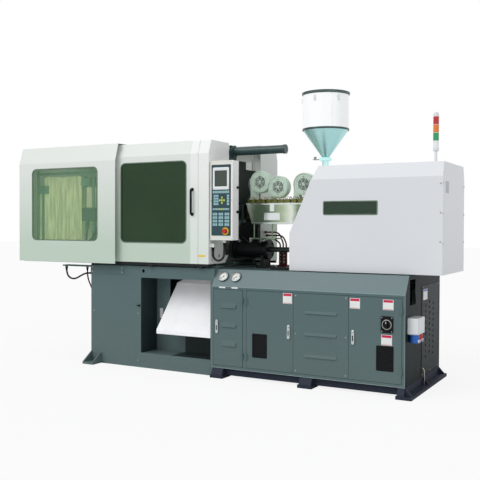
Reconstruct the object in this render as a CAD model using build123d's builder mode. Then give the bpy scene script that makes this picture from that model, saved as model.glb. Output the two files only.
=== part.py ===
from build123d import *
from math import cos, radians, sin, tan
import os

# An injection moulding machine with a direct hydraulic clamp on the left and a
# horizontal injection unit on the right, in millimetres.
# +X runs along the machine towards the injection end, +Y to its rear side and +Z up.
# The origin is on the floor, at the middle of the machine's length and width.

os.makedirs("parts", exist_ok=True)

# Lengths along the machine, from its clamp end to its injection end
clamp_overhang = 820
clamp_base_length = 1332
cabinet_length = 1650
cover_overhang = 228
machine_length = clamp_overhang + clamp_base_length + cabinet_length + cover_overhang
x_left = -machine_length / 2
x_base = x_left + clamp_overhang
x_cabinet = x_base + clamp_base_length
x_cabinet_end = x_cabinet + cabinet_length
x_right = x_cabinet_end + cover_overhang

# Common sizes
axis_height = 1370
sheet = 3
plate = 12
slide_gap = 0.3
weld_seam = 0.2
running_gap = 0.5
window_corner = 45
window_lap = 15
pane = 5

# Clamp base and its product opening
base_half_width = 457
base_height = 905
opening_left_wall = 570
opening_post = 37
opening_bottom = 133
opening_top = 803
opening_depth = 227
slideway_height = 20
slideway_inner = 300
slideway_outer = 400
foot_reach = 123
foot_width = 120
foot_plate = 20
gusset_height = 105
anchor_half_spacing = 500
anchor_radius = 11
hose_bracket_length = 350

# Product chute
chute_left_gap = 169
chute_lip_height = 35
chute_lip_bottom = 316
chute_slope = 50
chute_bend_from_front = 330
chute_rear_slope = 13

# Cabinet under the injection unit
cabinet_half_width = 497
cabinet_bottom = 82
cabinet_top = 900
fascia_foot = 765
fascia_set_back = 91
cabinet_front_wall = 37
cabinet_wall = 6
door_thickness = 20
door_proud = 2
door_bottom = 108
door_height = 631
door_gap = 3
door_lip = 13
door_pin_radius = 6
narrow_door_left = 18
narrow_door_width = 276
door_post = 39
pump_door_width = 416
vent_panel_width = 459
electric_door_width = 410
plinth_inset = 42
plinth_foot = 20
cabinet_foot_plate = 25
cabinet_foot_reach = 30
cabinet_foot_depth = 140
end_foot_reach = 58
middle_foot_from_left = 800
gauge_radius = 45
gauge_height_share = 0.55
first_gauge = 86
gauge_pitch = 120
socket_box_height = 120
socket_box_width = 190
socket_box_depth = 75
socket_radius = 33
socket_length = 55

# Platens, tie bars and clamp cylinder
platen_size = 820
platen_thickness = 150
platen_from_cabinet = 42
platens_apart = 980
ram_collar = 20
clamp_stroke = 500
tie_bar_radius = 40
tie_bar_spacing = 560
tie_nut_radius = 68
tie_nut_length = 70
cylinder_radius = 260
cylinder_length = 740
ram_radius = 140
ejector_radius = 25
locating_radius = 62.5
locating_depth = 25
nozzle_pocket_radius = 120
mould_bolt_radius = 8
mould_bolt_depth = 40
mould_bolts_near = 210
mould_bolts_far = 350

# Guards round the clamp
clamp_cover_length = 1168
clamp_cover_half_width = 546
clamp_cover_bottom = 924
clamp_cover_fold = 1851
clamp_cover_top = 2004
clamp_cover_inset = 47
gate_half_width = 495
gate_bottom = 943
gate_fold = 1877
gate_top = 1992
gate_inset = 42
gate_depth = 30
gate_cover_overlap = 103
gate_right_from_cabinet = 141
handle_from_edge = 56
guard_top_edge = 155
fixed_cover_face = 36
rear_cover_face = 118
handle_length = 226
handle_reach = 33
handle_bar = 16
rail_height = 24
rail_depth = 26

# Safety bar on top of the clamp
safety_y = -60
safety_height = 1925
safety_tube_radius = 36
safety_tube_wall = 6
safety_cap_length = 22
safety_cap_end = 8
safety_tube_length = clamp_stroke + 15
safety_rod_radius = 22
safety_block_top = 1850

# Operator's control box
control_width = 216
control_height = 661
control_depth = 110
control_bottom = 1147
control_arm = 14
keypad_margin = 19
stop_button_radius = 19

# Cable and hoses
cable_radius = 9
cable_gland_length = 22
cable_end_drop = 62
cable_elbow = 15
long_hose_radius = 8
short_hose_radius = 6.5
hose_gland_length = 14
hose_gland_wall = 5

# Injection unit
carriage_stroke = 250
dose_stroke = 160
hopper_from_cabinet = 811
hopper_radius = 193
hopper_cone_foot = 1840
hopper_cylinder_foot = 2073
hopper_top = 2376
hopper_neck_radius = 27
hopper_sheet = 3
housing_length = 200
housing_half_width = 150
housing_top = 1500
bed_height = 945
bed_thickness = 18
rail_half_spacing = 230
rail_width = 40
barrel_radius = 60
screw_radius = 30
nozzle_radius = 30
shroud_left = 145
shroud_half_width = 170
shroud_bottom = 1283
shroud_top = 1462
shroud_slant = 60
tray_drop = 118
blower_radius = 95
blower_depth = 60
blower_front = -100
blower_inlet_radius = 50
seat_cylinder_radius = 72
seat_cylinder_length = carriage_stroke + 85
seat_height = 1062
barrel_cover_length = 1234
barrel_cover_half_width = 350
barrel_cover_bottom = 907
barrel_cover_kink = 1209
barrel_cover_slant = 237
barrel_cover_fold = 1637
barrel_cover_top = 1748
barrel_cover_inset = 36
slot_window_left = 298
slot_window_width = 438
slot_window_bottom = 1359
slot_window_height = 100
light_from_right = 143
light_radius = 22
light_height = 410

# Places worked out from the sizes above
x_fixed_right = x_cabinet - platen_from_cabinet
x_fixed_left = x_fixed_right - platen_thickness
x_tail_right = x_fixed_left - platens_apart
x_tail_left = x_tail_right - platen_thickness
x_moving_left = x_tail_right + ram_collar
x_moving_right = x_moving_left + platen_thickness
x_clamp_cover_right = x_left + clamp_cover_length
x_gate_left = x_clamp_cover_right - gate_cover_overlap
x_gate_right = x_cabinet - gate_right_from_cabinet
x_fixed_cover = x_cabinet - fixed_cover_face
x_rear_cover = x_cabinet + rear_cover_face
x_hopper = x_cabinet + hopper_from_cabinet
x_housing_left = x_hopper - housing_length / 2
x_housing_right = x_hopper + housing_length / 2
x_barrel_cover = x_right - barrel_cover_length
neck_bore = hopper_neck_radius - hopper_sheet
centre = [(0, axis_height)]
tie_half = tie_bar_spacing / 2
tie_places = [(y, axis_height + z) for y in (-tie_half, tie_half) for z in (-tie_half, tie_half)]
platen_half = platen_size / 2
platen_bottom = axis_height - platen_half
platen_top = axis_height + platen_half
slideway_top = base_height + slideway_height
x_control = (x_fixed_cover + control_arm, x_fixed_cover + control_arm + control_width)
y_control = (-gate_half_width, -gate_half_width + control_depth)
z_control = (control_bottom, control_bottom + control_height)

# The cable's ends and its route between them, then the two hoses' ends and routes
cable_y = y_control[0] + 51
cable_start = (x_control[0] + 112, cable_y, z_control[0] - cable_gland_length)
cable_end = (x_control[0] + 1.5, cable_y, z_control[0] - cable_end_drop)
cable_route = [cable_start]
cable_route += [(x_control[0] + along, cable_y, z_control[0] - down)
                for along, down in ((112, 80), (108, 138), (78, 173), (32, 173), (1, 141), (1.5, 102))]
cable_route += [cable_end]
long_hose_y = -base_half_width + 27
short_hose_y = -base_half_width + 57
hose_top = base_height - 2 * plate - hose_gland_length
long_hose_start = (x_base - 325, long_hose_y, hose_top)
long_hose_end = (x_base - hose_gland_length, long_hose_y, base_height - 83)
long_hose_route = [long_hose_start]
long_hose_route += [(x_base - along, long_hose_y, base_height - down)
                    for along, down in ((325, 82), (300, 128), (252, 146), (200, 137), (152, 113),
                                        (106, 92), (60, 83))]
long_hose_route += [long_hose_end]
short_hose_start = (x_base - 95, short_hose_y, hose_top)
short_hose_end = (x_base - 22, short_hose_y, base_height - 345)
short_hose_route = [short_hose_start]
short_hose_route += [(x_base - along, short_hose_y, base_height - down)
                     for along, down in ((95, 79), (91, 122), (77, 163), (56, 200), (36, 238), (24, 279),
                                         (22, 318))]
short_hose_route += [short_hose_end]


# Shapes used again and again
def block(x, y, z, mode=Mode.ADD):
    """A plain block between two X, two Y and two Z values."""
    with Locations(((x[0] + x[1]) / 2, (y[0] + y[1]) / 2, (z[0] + z[1]) / 2)):
        Box(x[1] - x[0], y[1] - y[0], z[1] - z[0], mode=mode)


def run_x(outline, x, mode=Mode.ADD):
    """A closed outline of Y and Z points, run from one X value to another."""
    with BuildSketch(Plane.YZ.offset(x[0])) as profile:
        with BuildLine():
            Polyline(*outline, close=True)
        make_face()
    extrude(profile.sketch, amount=x[1] - x[0], mode=mode)


def run_y(outline, y, mode=Mode.ADD):
    """A closed outline of X and Z points, run from one Y value to another."""
    with BuildSketch(Plane.XZ.offset(-y[1])) as profile:
        with BuildLine():
            Polyline(*outline, close=True)
        make_face()
    extrude(profile.sketch, amount=y[1] - y[0], mode=mode)


def round_x(x, places, radius, mode=Mode.ADD):
    """Round bars or holes along X, at places given as Y and Z."""
    with BuildSketch(Plane.YZ.offset(x[0])) as profile:
        with Locations(*places):
            Circle(radius)
    extrude(profile.sketch, amount=x[1] - x[0], mode=mode)


def round_y(y, places, radius, mode=Mode.ADD):
    """Round bars or holes along Y, at places given as X and Z."""
    with BuildSketch(Plane.XZ.offset(-y[1])) as profile:
        with Locations(*places):
            Circle(radius)
    extrude(profile.sketch, amount=y[1] - y[0], mode=mode)


def round_z(z, places, radius, mode=Mode.ADD):
    """Round bars or holes along Z, at places given as X and Y."""
    with BuildSketch(Plane.XY.offset(z[0])) as profile:
        with Locations(*places):
            Circle(radius)
    extrude(profile.sketch, amount=z[1] - z[0], mode=mode)


def pane_y(x, z, corner, y, mode=Mode.ADD):
    """A rectangle with round corners in X and Z, run from one Y value to another."""
    with BuildSketch(Plane.XZ.offset(-y[1])) as profile:
        with Locations(((x[0] + x[1]) / 2, (z[0] + z[1]) / 2)):
            RectangleRounded(x[1] - x[0], z[1] - z[0], corner)
    extrude(profile.sketch, amount=y[1] - y[0], mode=mode)


def folded(points, thickness):
    """The closed outline of a sheet folded along the points, its thickness on their right."""
    normals = []
    for (a0, b0), (a1, b1) in zip(points, points[1:]):
        length = ((a1 - a0) ** 2 + (b1 - b0) ** 2) ** 0.5
        normals.append(((b1 - b0) / length, -(a1 - a0) / length))
    inner = []
    for index, (a, b) in enumerate(points):
        before = normals[max(index - 1, 0)]
        after = normals[min(index, len(normals) - 1)]
        total = (before[0] + after[0], before[1] + after[1])
        share = thickness * 2 / (total[0] ** 2 + total[1] ** 2)
        inner.append((a + total[0] * share, b + total[1] * share))
    return list(points) + inner[::-1]


def grown(span, amount):
    """Two values moved apart by the amount on each side."""
    return (span[0] - amount, span[1] + amount)


def sided(side, a, b):
    """A Y span that lies on the front (-1) or the rear (1) side."""
    return sorted((side * a, side * b))


def about(value, amount):
    """A span centred on a value."""
    return (value - amount, value + amount)


def keep(builder, name):
    """Name a finished piece and write its file."""
    builder.part.label = name
    export_step(builder.part, f"parts/{name}.step")


# Clamp base: a welded box with the product opening in its front side
x_opening = (x_base + opening_left_wall, x_cabinet - opening_post)
y_opening_back = -base_half_width + opening_depth
chute_left = x_opening[0] + chute_left_gap
chute_rise = tan(radians(chute_slope))
chute_foot = chute_lip_bottom + chute_lip_height
chute_under_edge = chute_foot + opening_depth * chute_rise - sheet / cos(radians(chute_slope))
drop_opening = (chute_left, x_fixed_left - 8)
with BuildPart() as clamp_base:
    block((x_base, x_cabinet), (-base_half_width, base_half_width), (0, base_height))
    inner_half = base_half_width - plate
    room_right = x_cabinet - plate
    ceiling = base_height - plate
    block((x_base + plate, x_opening[0] - plate), (-inner_half, inner_half), (0, ceiling), Mode.SUBTRACT)
    block((x_opening[0], room_right), (y_opening_back + plate, inner_half), (0, ceiling), Mode.SUBTRACT)
    for z in ((0, opening_bottom - plate), (opening_top + plate, ceiling)):
        block((x_opening[0], room_right), (-inner_half, y_opening_back), z, Mode.SUBTRACT)
    block(x_opening, (-base_half_width, y_opening_back), (opening_bottom, opening_top), Mode.SUBTRACT)
    block((chute_left - window_lap, x_opening[1]), (y_opening_back, y_opening_back + plate),
          (chute_under_edge - slide_gap, ceiling), Mode.SUBTRACT)
    block(drop_opening, (y_opening_back + plate, slideway_inner - window_lap), (ceiling, base_height),
          Mode.SUBTRACT)
    pane_y((x_opening[0] + 14, x_opening[0] + 40), (base_height - 60, base_height - 26), 12,
           (-base_half_width, -inner_half), Mode.SUBTRACT)
    for side in (-1, 1):
        block((x_base, x_cabinet), sided(side, slideway_inner, slideway_outer), (base_height, slideway_top))
        block((x_base, x_base + foot_width), sided(side, base_half_width, base_half_width + foot_reach),
              (0, foot_plate))
        gusset = [(side * base_half_width, foot_plate), (side * (base_half_width + foot_reach), foot_plate),
                  (side * base_half_width, gusset_height)]
        run_x(gusset, (x_base, x_base + plate))
        run_x(gusset, (x_base + foot_width - plate, x_base + foot_width))
        round_z((0, foot_plate), [(x_base + foot_width / 2, side * anchor_half_spacing)], anchor_radius,
                Mode.SUBTRACT)
    block((x_base - hose_bracket_length, x_base), (-base_half_width, -base_half_width + 80),
          (base_height - 2 * plate, base_height - plate))
    for start, radius in ((long_hose_start, long_hose_radius), (short_hose_start, short_hose_radius)):
        round_z((hose_top, hose_top + hose_gland_length), [start[:2]], radius + hose_gland_wall)
    round_x((x_base - hose_gland_length, x_base), [long_hose_end[1:]], long_hose_radius + hose_gland_wall)
    elbow_reach = short_hose_radius + hose_gland_wall
    block((short_hose_end[0] - elbow_reach, x_base), about(short_hose_y, elbow_reach),
          (short_hose_end[2] - 2 * elbow_reach, short_hose_end[2]))
keep(clamp_base, "clamp_base")

# Product chute: one sheet with a front lip, a steep slide and a flatter rear half
chute_front = -base_half_width
chute_bend = (chute_front + chute_bend_from_front, chute_foot + chute_bend_from_front * chute_rise)
chute_rear = slideway_inner - 2 * window_lap
chute_rear_top = chute_bend[1] + (chute_rear - chute_bend[0]) * tan(radians(chute_rear_slope))
with BuildPart() as product_chute:
    run_x(folded([(chute_front, chute_lip_bottom), (chute_front, chute_foot), chute_bend,
                  (chute_rear, chute_rear_top)], sheet), (chute_left, x_opening[1]))
keep(product_chute, "product_chute")

# Cabinet frame: welded walls, door frames, partitions and oil tank walls
fascia_slope = (fascia_set_back, cabinet_top - fascia_foot)
fascia_length = (fascia_slope[0] ** 2 + fascia_slope[1] ** 2) ** 0.5
fascia_step = sheet * fascia_length / fascia_slope[1]
fascia_level = sheet * fascia_length / fascia_slope[0]
half = cabinet_half_width
deck = cabinet_top - plate
x_narrow = (x_cabinet + narrow_door_left, x_cabinet + narrow_door_left + narrow_door_width)
x_pump = (x_narrow[1] + door_post, x_narrow[1] + door_post + pump_door_width)
x_vent = (x_pump[1] + door_gap, x_pump[1] + door_gap + vent_panel_width)
x_electric = (x_vent[1] + door_gap, x_vent[1] + door_gap + electric_door_width)
z_door = (door_bottom, door_bottom + door_height)
y_door = (-half - door_proud, -half - door_proud + door_thickness)
y_recess = y_door[1] + slide_gap
room_front = -half + cabinet_front_wall
room_slope_foot = fascia_foot - 2 * plate
room_slope_top = -half + fascia_set_back + plate
room_floor = cabinet_bottom + cabinet_wall
room_back = half - cabinet_wall


def room(x, back=room_back, front=room_front):
    """Clear one room of the cabinet between two X values."""
    outline = [(front, room_floor), (front, room_slope_foot), (max(front, room_slope_top), deck),
               (back, deck), (back, room_floor)]
    run_x(outline, x, Mode.SUBTRACT)


tank_front = -240
end_slot_y = (-half + 112, -half + 272)
end_slot_z = (677, 868)
end_opening_y = (-45, 424)
end_opening_z = (110, 790)
filler_place = (x_vent[0] + 120, half - 90)
filler_radius = 30
filler_height = 30
x_cabinet_span = (x_cabinet, x_cabinet_end)
with BuildPart() as cabinet_frame:
    run_x([(-half, cabinet_bottom), (-half, fascia_foot - fascia_level),
           (-half + fascia_set_back + fascia_step, cabinet_top), (half, cabinet_top),
           (half, cabinet_bottom)], (x_cabinet, x_cabinet_end))
    room((x_cabinet + cabinet_wall, x_narrow[1] + door_post / 2 - cabinet_wall))
    room((x_narrow[1] + door_post / 2 + cabinet_wall, x_vent[0] - cabinet_wall))
    block((x_vent[0] + cabinet_wall, x_vent[1] - cabinet_wall), (room_front, tank_front - cabinet_wall),
          (room_floor, room_slope_foot), Mode.SUBTRACT)
    block((x_vent[0] + cabinet_wall, x_vent[1] - cabinet_wall), (tank_front, room_back),
          (room_floor, deck), Mode.SUBTRACT)
    room((x_electric[0] + cabinet_wall, x_cabinet_end - cabinet_wall))
    for x_door in (x_narrow, x_pump, x_vent, x_electric):
        block(grown(x_door, door_gap), (-half, y_recess), grown(z_door, door_gap), Mode.SUBTRACT)
        block(grown(x_door, -door_lip), (-half, room_front), grown(z_door, -door_lip), Mode.SUBTRACT)
    block((x_cabinet_end - cabinet_wall, x_cabinet_end), end_slot_y, end_slot_z, Mode.SUBTRACT)
    block((x_cabinet_end - cabinet_wall, x_cabinet_end), end_opening_y, end_opening_z, Mode.SUBTRACT)
    round_z((deck, cabinet_top), [filler_place], filler_radius + 4, Mode.SUBTRACT)
    gauge_y = -half + fascia_set_back * gauge_height_share
    gauge_z = fascia_foot + (cabinet_top - fascia_foot) * gauge_height_share
    gauge_normal = Vector(0, -fascia_slope[1], fascia_slope[0]).normalized()
    gauge_planes = [Plane(origin=(x_cabinet + first_gauge + gauge_pitch * i, gauge_y, gauge_z),
                          x_dir=(1, 0, 0), z_dir=gauge_normal) for i in range(2)]
    for gauge_plane in gauge_planes:
        with BuildSketch(gauge_plane):
            Circle(gauge_radius - 4)
        extrude(amount=-60, mode=Mode.SUBTRACT)
    for z_seam in (room_floor, deck - weld_seam):
        block(x_cabinet_span, (-half, half), (z_seam, z_seam + weld_seam), Mode.SUBTRACT)
    block(x_cabinet_span, (room_back - weld_seam, room_back), (room_floor, deck), Mode.SUBTRACT)
    block(x_cabinet_span, (room_front, room_front + weld_seam), (room_floor, room_slope_foot), Mode.SUBTRACT)
    block(x_cabinet_span, (-half, room_front + weld_seam), (room_slope_foot, room_slope_foot + weld_seam),
          Mode.SUBTRACT)
    run_x([(room_front, room_slope_foot), (room_slope_top, deck), (room_slope_top + weld_seam, deck),
           (room_front + weld_seam, room_slope_foot)], x_cabinet_span, Mode.SUBTRACT)
    for x_seam in (x_vent[0] + cabinet_wall, x_vent[1] - cabinet_wall - weld_seam):
        block((x_seam, x_seam + weld_seam), (room_front, half), (room_floor, cabinet_top), Mode.SUBTRACT)
keep(cabinet_frame, "cabinet_frame")

# Filler neck of the oil tank, screwed onto the cabinet's top
with BuildPart() as tank_filler:
    round_z((cabinet_top, cabinet_top + 6), [filler_place], filler_radius + 24)
    round_z((cabinet_top, cabinet_top + filler_height), [filler_place], filler_radius + 8)
    round_z((cabinet_top, cabinet_top + filler_height), [filler_place], filler_radius, Mode.SUBTRACT)
keep(tank_filler, "tank_filler")

# Cabinet base: the plinth under the walls, with its feet and the end foot's ribs
with BuildPart() as cabinet_base:
    x_plinth = (x_cabinet + 2 * plinth_inset, x_cabinet_end - plinth_inset)
    y_plinth = (-half + plinth_inset, half - plinth_inset)
    block(x_plinth, y_plinth, (plinth_foot, cabinet_bottom))
    block(grown(x_plinth, -plate), grown(y_plinth, -plate), (plinth_foot, cabinet_bottom), Mode.SUBTRACT)
    for side in (-1, 1):
        reach = half + cabinet_foot_reach
        x_last_foot = x_cabinet_end + end_foot_reach - foot_width
        for x_foot in (x_cabinet, x_cabinet + middle_foot_from_left, x_last_foot):
            block((x_foot, x_foot + foot_width), sided(side, reach, reach - cabinet_foot_depth),
                  (0, cabinet_foot_plate))
            wedge = [(side * (reach - 8), cabinet_foot_plate), (side * half, cabinet_bottom),
                     (side * (reach - cabinet_foot_depth), cabinet_bottom),
                     (side * (reach - cabinet_foot_depth), cabinet_foot_plate)]
            run_x(wedge, (x_foot + 8, min(x_foot + foot_width - 8, x_cabinet_end)))
    x_end_plate = (x_cabinet_end - plate, x_cabinet_end + end_foot_reach)
    block(x_end_plate, (-half - cabinet_foot_reach, half + cabinet_foot_reach), (0, cabinet_foot_plate))
    for y_rib in (-half + 6, -6, half - 18):
        run_y([(x_cabinet_end, cabinet_foot_plate), (x_cabinet_end + end_foot_reach - 6, cabinet_foot_plate),
               (x_cabinet_end, cabinet_bottom)], (y_rib, y_rib + plate))
    block((x_cabinet_end - plate, x_cabinet_end), (-half, half), (cabinet_foot_plate, cabinet_bottom))
    for side in (-1, 1):
        round_z((0, cabinet_foot_plate), [(x_cabinet_end + end_foot_reach / 2, side * anchor_half_spacing)],
                anchor_radius, Mode.SUBTRACT)
keep(cabinet_base, "cabinet_base")

# Fascia: the sloped front sheet above the doors, with its two gauge holes
with BuildPart() as fascia:
    run_x([(-half, fascia_foot), (-half + fascia_set_back, cabinet_top),
           (-half + fascia_set_back + fascia_step, cabinet_top), (-half, fascia_foot - fascia_level)],
          (x_cabinet, x_cabinet_end))
    for gauge_plane in gauge_planes:
        with BuildSketch(gauge_plane):
            Circle(gauge_radius - 5)
        extrude(amount=-10, both=True, mode=Mode.SUBTRACT)
keep(fascia, "fascia")

# Two pressure gauges and their pointers
pointer_zero = 225
with BuildPart() as gauge_cases:
    for gauge_plane in gauge_planes:
        with BuildSketch(gauge_plane):
            Circle(gauge_radius)
        extrude(amount=14)
        with BuildSketch(gauge_plane.offset(4)):
            Circle(gauge_radius - 5)
        extrude(amount=10, mode=Mode.SUBTRACT)
        with BuildSketch(gauge_plane):
            Circle(gauge_radius - 6)
        extrude(amount=-35)
keep(gauge_cases, "gauge_cases")
for number, gauge_plane in enumerate(gauge_planes, 1):
    with BuildPart() as gauge_pointer:
        with BuildSketch(gauge_plane.offset(4 + slide_gap)):
            Circle(5)
            with Locations(Location((0, 0, 0), (0, 0, 1), pointer_zero)):
                with Locations((9, 0)):
                    Rectangle(42, 2.4)
        extrude(amount=2)
    keep(gauge_pointer, f"gauge_pointer_{number}")


# Cabinet doors and panels
def louvre(x, z, drop, y_face):
    """A pressed hood over a slit, along X, standing out of a sheet at y_face."""
    block(x, (y_face, y_face + sheet), (z - drop, z), Mode.SUBTRACT)
    run_x([(y_face, z + 6), (y_face - 10, z - drop), (y_face - 10 + sheet, z - drop),
           (y_face + sheet, z + 3)], x)


def grille(x, z, y_face, slats):
    """A vent with level slats in a sheet at y_face."""
    block(x, (y_face, y_face + sheet), z, Mode.SUBTRACT)
    pitch = (z[1] - z[0]) / slats
    for i in range(slats):
        foot = z[0] + (i + 0.25) * pitch
        run_x([(y_face - 2, foot), (y_face + 5, foot + pitch / 2), (y_face + 5, foot + pitch / 2 + sheet),
               (y_face - 2, foot + sheet)], x)


def door_pan(x, lock=None):
    """A folded door or panel between two X values, its edges turned in."""
    block(x, y_door, z_door)
    block((x[0] + sheet, x[1] - sheet), (y_door[0] + sheet, y_door[1]),
          (z_door[0] + sheet, z_door[1] - sheet), Mode.SUBTRACT)
    if lock:
        round_y((y_door[0], y_door[0] + sheet), [lock], door_pin_radius + running_gap, Mode.SUBTRACT)


def hinge_knuckles(x, x_edge):
    """Two hinge barrels beside a door's edge, each with a leaf that reaches onto the door."""
    for z in (z_door[0] + 90, z_door[1] - 90):
        round_z((z - 25, z + 25), [(x, y_hinge)], door_pin_radius)
        block(sorted((x, x_edge)), (y_hinge, y_door[0]), (z - 25, z + 25))


y_hinge = y_door[0] - door_pin_radius - slide_gap
latch_height = 429
latch_length = 111
latch_width = 24
latch_reach = 12
latch_from_edge = 36
hinge_leaf = 12
lock_from_top = 14
lock_height = latch_height + latch_length / 2 - lock_from_top
narrow_lock = (x_narrow[0] + latch_from_edge, lock_height)
pump_lock = (x_pump[1] - latch_from_edge, lock_height)
electric_lock = (x_electric[0] + latch_from_edge, lock_height)
narrow_louvre_places = [door_bottom + door_height * share for share in (0.82, 0.57, 0.32)]
vent_louvre_places = [door_bottom + door_height * share for share in (0.78, 0.51, 0.24)]
narrow_louvres = (x_narrow[0] + 76, x_narrow[0] + 215)
vent_louvres = (x_vent[0] + 98, x_vent[0] + 362)
pump_grille = ((x_pump[0] + 58, x_pump[0] + 182), (204, 389))
electric_grille = ((x_electric[1] - 187, x_electric[1] - 64), (199, 377))
switch_centre = (x_electric[1] - 110, 541)
switch_plate = (88, 116)
with BuildPart() as narrow_door:
    door_pan(x_narrow, narrow_lock)
    for z in narrow_louvre_places:
        louvre(narrow_louvres, z, 38, y_door[0])
    hinge_knuckles(x_narrow[1] + door_gap / 2, x_narrow[1] - hinge_leaf)
keep(narrow_door, "narrow_door")

with BuildPart() as pump_door:
    door_pan(x_pump, pump_lock)
    grille(*pump_grille, y_door[0], 9)
    hinge_knuckles(x_pump[0] - door_gap / 2, x_pump[0] + hinge_leaf)
keep(pump_door, "pump_door")

# Screwed-on panels: the louvred one in the front, and the end one with its vent holes
end_panel_lap = 12
vent_hole_radius = 12
vent_hole_pitch = 45
vent_columns = (50, 163, 277)
with BuildPart() as cabinet_panels:
    door_pan(x_vent)
    for z in vent_louvre_places:
        louvre(vent_louvres, z, 16, y_door[0])
    for x in (x_vent[0] + 40, x_vent[1] - 40):
        block((x - 20, x + 20), (y_door[1] - sheet, y_recess), (z_door[0], z_door[0] + door_lip - 1))
        block((x - 20, x + 20), (y_door[1] - sheet, y_recess), (z_door[1] - door_lip + 1, z_door[1]))
    block((x_cabinet_end, x_cabinet_end + sheet), grown(end_opening_y, end_panel_lap),
          grown(end_opening_z, end_panel_lap))
    hole_places = [(y, 236 + vent_hole_pitch * (row + 0.5 * (column % 2)))
                   for column, y in enumerate(vent_columns) for row in range(10)]
    round_x((x_cabinet_end, x_cabinet_end + sheet), hole_places, vent_hole_radius, Mode.SUBTRACT)
keep(cabinet_panels, "cabinet_panels")

with BuildPart() as electric_door:
    door_pan(x_electric, electric_lock)
    grille(*electric_grille, y_door[0], 9)
    hinge_knuckles(x_electric[1] + door_gap / 2, x_electric[1] - hinge_leaf)
    block(about(switch_centre[0], switch_plate[0] / 2), (y_door[0] - 6, y_door[0]),
          about(switch_centre[1], switch_plate[1] / 2))
    round_y((y_door[0] - 6, y_door[0] + sheet), [switch_centre], door_pin_radius + running_gap,
            Mode.SUBTRACT)
keep(electric_door, "electric_door")

latch_places = {"narrow_latch": narrow_lock, "pump_latch": pump_lock, "electric_latch": electric_lock}
for latch_name, lock in latch_places.items():
    with BuildPart() as latch:
        y_latch = y_door[0] - slide_gap
        latch_top = lock[1] + lock_from_top
        pane_y(about(lock[0], latch_width / 2), (latch_top - latch_length, latch_top),
               latch_width / 2 - 2, (y_latch - latch_reach, y_latch))
        round_y((y_latch - 1, y_door[0] + 2 * sheet), [lock], door_pin_radius)
        fillet(latch.edges().group_by(Axis.Y)[0], radius=2.5)
    keep(latch, latch_name)

with BuildPart() as switch_knob:
    y_knob = y_door[0] - 6 - slide_gap
    round_y((y_knob - 10, y_knob), [switch_centre], 29)
    block((switch_centre[0] - 8, switch_centre[0] + 8), (y_knob - 26, y_knob - 10),
          (switch_centre[1] - 27, switch_centre[1] + 27))
    round_y((y_knob - 1, y_door[0] + sheet), [switch_centre], door_pin_radius)
    fillet(switch_knob.edges().filter_by(Axis.Y).group_by(Axis.Y)[0], radius=5)
keep(switch_knob, "switch_knob")

# Power sockets on the end wall, with lids hinged at their top
socket_y = (-half + 60, -half + 60 + socket_box_width)
socket_z = (470, 470 + socket_box_height)
socket_x = (x_cabinet_end, x_cabinet_end + socket_box_depth)
socket_middle = socket_x[0] + socket_box_depth / 2
socket_places = [(socket_middle, socket_y[0] + socket_box_width * share) for share in (0.28, 0.74)]
lid_thickness = 8
lid_pin_radius = 2
lid_lug_radius = 3.5
lid_axis_x = socket_middle + socket_radius + 4
lid_axis_z = socket_z[0] - socket_length - slide_gap - lid_thickness / 2
with BuildPart() as socket_box:
    block(socket_x, socket_y, socket_z)
    fillet(socket_box.edges().filter_by(Axis.X), radius=10)
    round_z((socket_z[0] - socket_length, socket_z[0]), socket_places, socket_radius)
    for x, y in socket_places:
        for y_lug in ((y - 18, y - 14), (y + 14, y + 18)):
            round_y(y_lug, [(lid_axis_x, lid_axis_z)], lid_lug_radius)
            block(about(lid_axis_x, lid_lug_radius), y_lug, (lid_axis_z, lid_axis_z + 20))
            block((socket_middle + 20, lid_axis_x), y_lug, (lid_axis_z + 6, lid_axis_z + 20))
        round_y((y - 18, y + 18), [(lid_axis_x, lid_axis_z)], lid_pin_radius)
    round_z((socket_z[0] - socket_length, socket_z[0] - 10), socket_places, socket_radius - 6, Mode.SUBTRACT)
keep(socket_box, "socket_box")
for lid_name, place in zip(("socket_lid_1", "socket_lid_2"), socket_places):
    with BuildPart() as socket_lid:
        z_lid = socket_z[0] - socket_length - slide_gap
        round_z((z_lid - lid_thickness, z_lid), [place], socket_radius + 3)
        lid_tab = about(place[1], 12)
        block((place[0] + socket_radius - 6, place[0] + socket_radius + 8), lid_tab,
              (z_lid - lid_thickness, z_lid))
        round_y(lid_tab, [(lid_axis_x, lid_axis_z)], lid_pin_radius + slide_gap, Mode.SUBTRACT)
    keep(socket_lid, lid_name)

# Inside the cabinet: pump with its motor, and the switchgear
with BuildPart() as pump_motor:
    motor_x = (x_pump[0] + 60, x_pump[0] + 300)
    motor_axis = (0, room_floor + 150)
    round_x(motor_x, [motor_axis], 115)
    round_x((motor_x[1], motor_x[1] + 24), [motor_axis], 95)
    round_x((motor_x[1] + 24, motor_x[1] + 90), [motor_axis], 60)
    for i in range(12):
        with Locations(Plane(origin=(motor_x[0], *motor_axis), x_dir=(0, 1, 0), z_dir=(1, 0, 0))):
            with PolarLocations(118, 1, start_angle=30 * i):
                Box(12, 5, motor_x[1] - motor_x[0] - 30, align=(Align.CENTER, Align.CENTER, Align.MIN))
    block((motor_x[0] + 30, motor_x[1] - 30), (-120, 120), (room_floor, room_floor + 36))
keep(pump_motor, "pump_motor")

with BuildPart() as switchgear:
    board = (x_electric[0] + 50, x_electric[1] - 50)
    block(board, (room_back - 26, room_back - 20), (200, 800))
    for x in (board[0] + 20, board[1] - 40):
        block((x, x + 20), (room_back - 20, room_back), (230, 770))
    unit_pitch = (board[1] - board[0] - 40) / 5
    for row, (foot, height, depth) in enumerate(((240, 120, 110), (430, 90, 80), (590, 150, 95))):
        for i in range(5):
            x = board[0] + 20 + unit_pitch * i
            block((x, x + unit_pitch - 10), (room_back - 26 - depth, room_back - 26), (foot, foot + height))
keep(switchgear, "switchgear")

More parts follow.
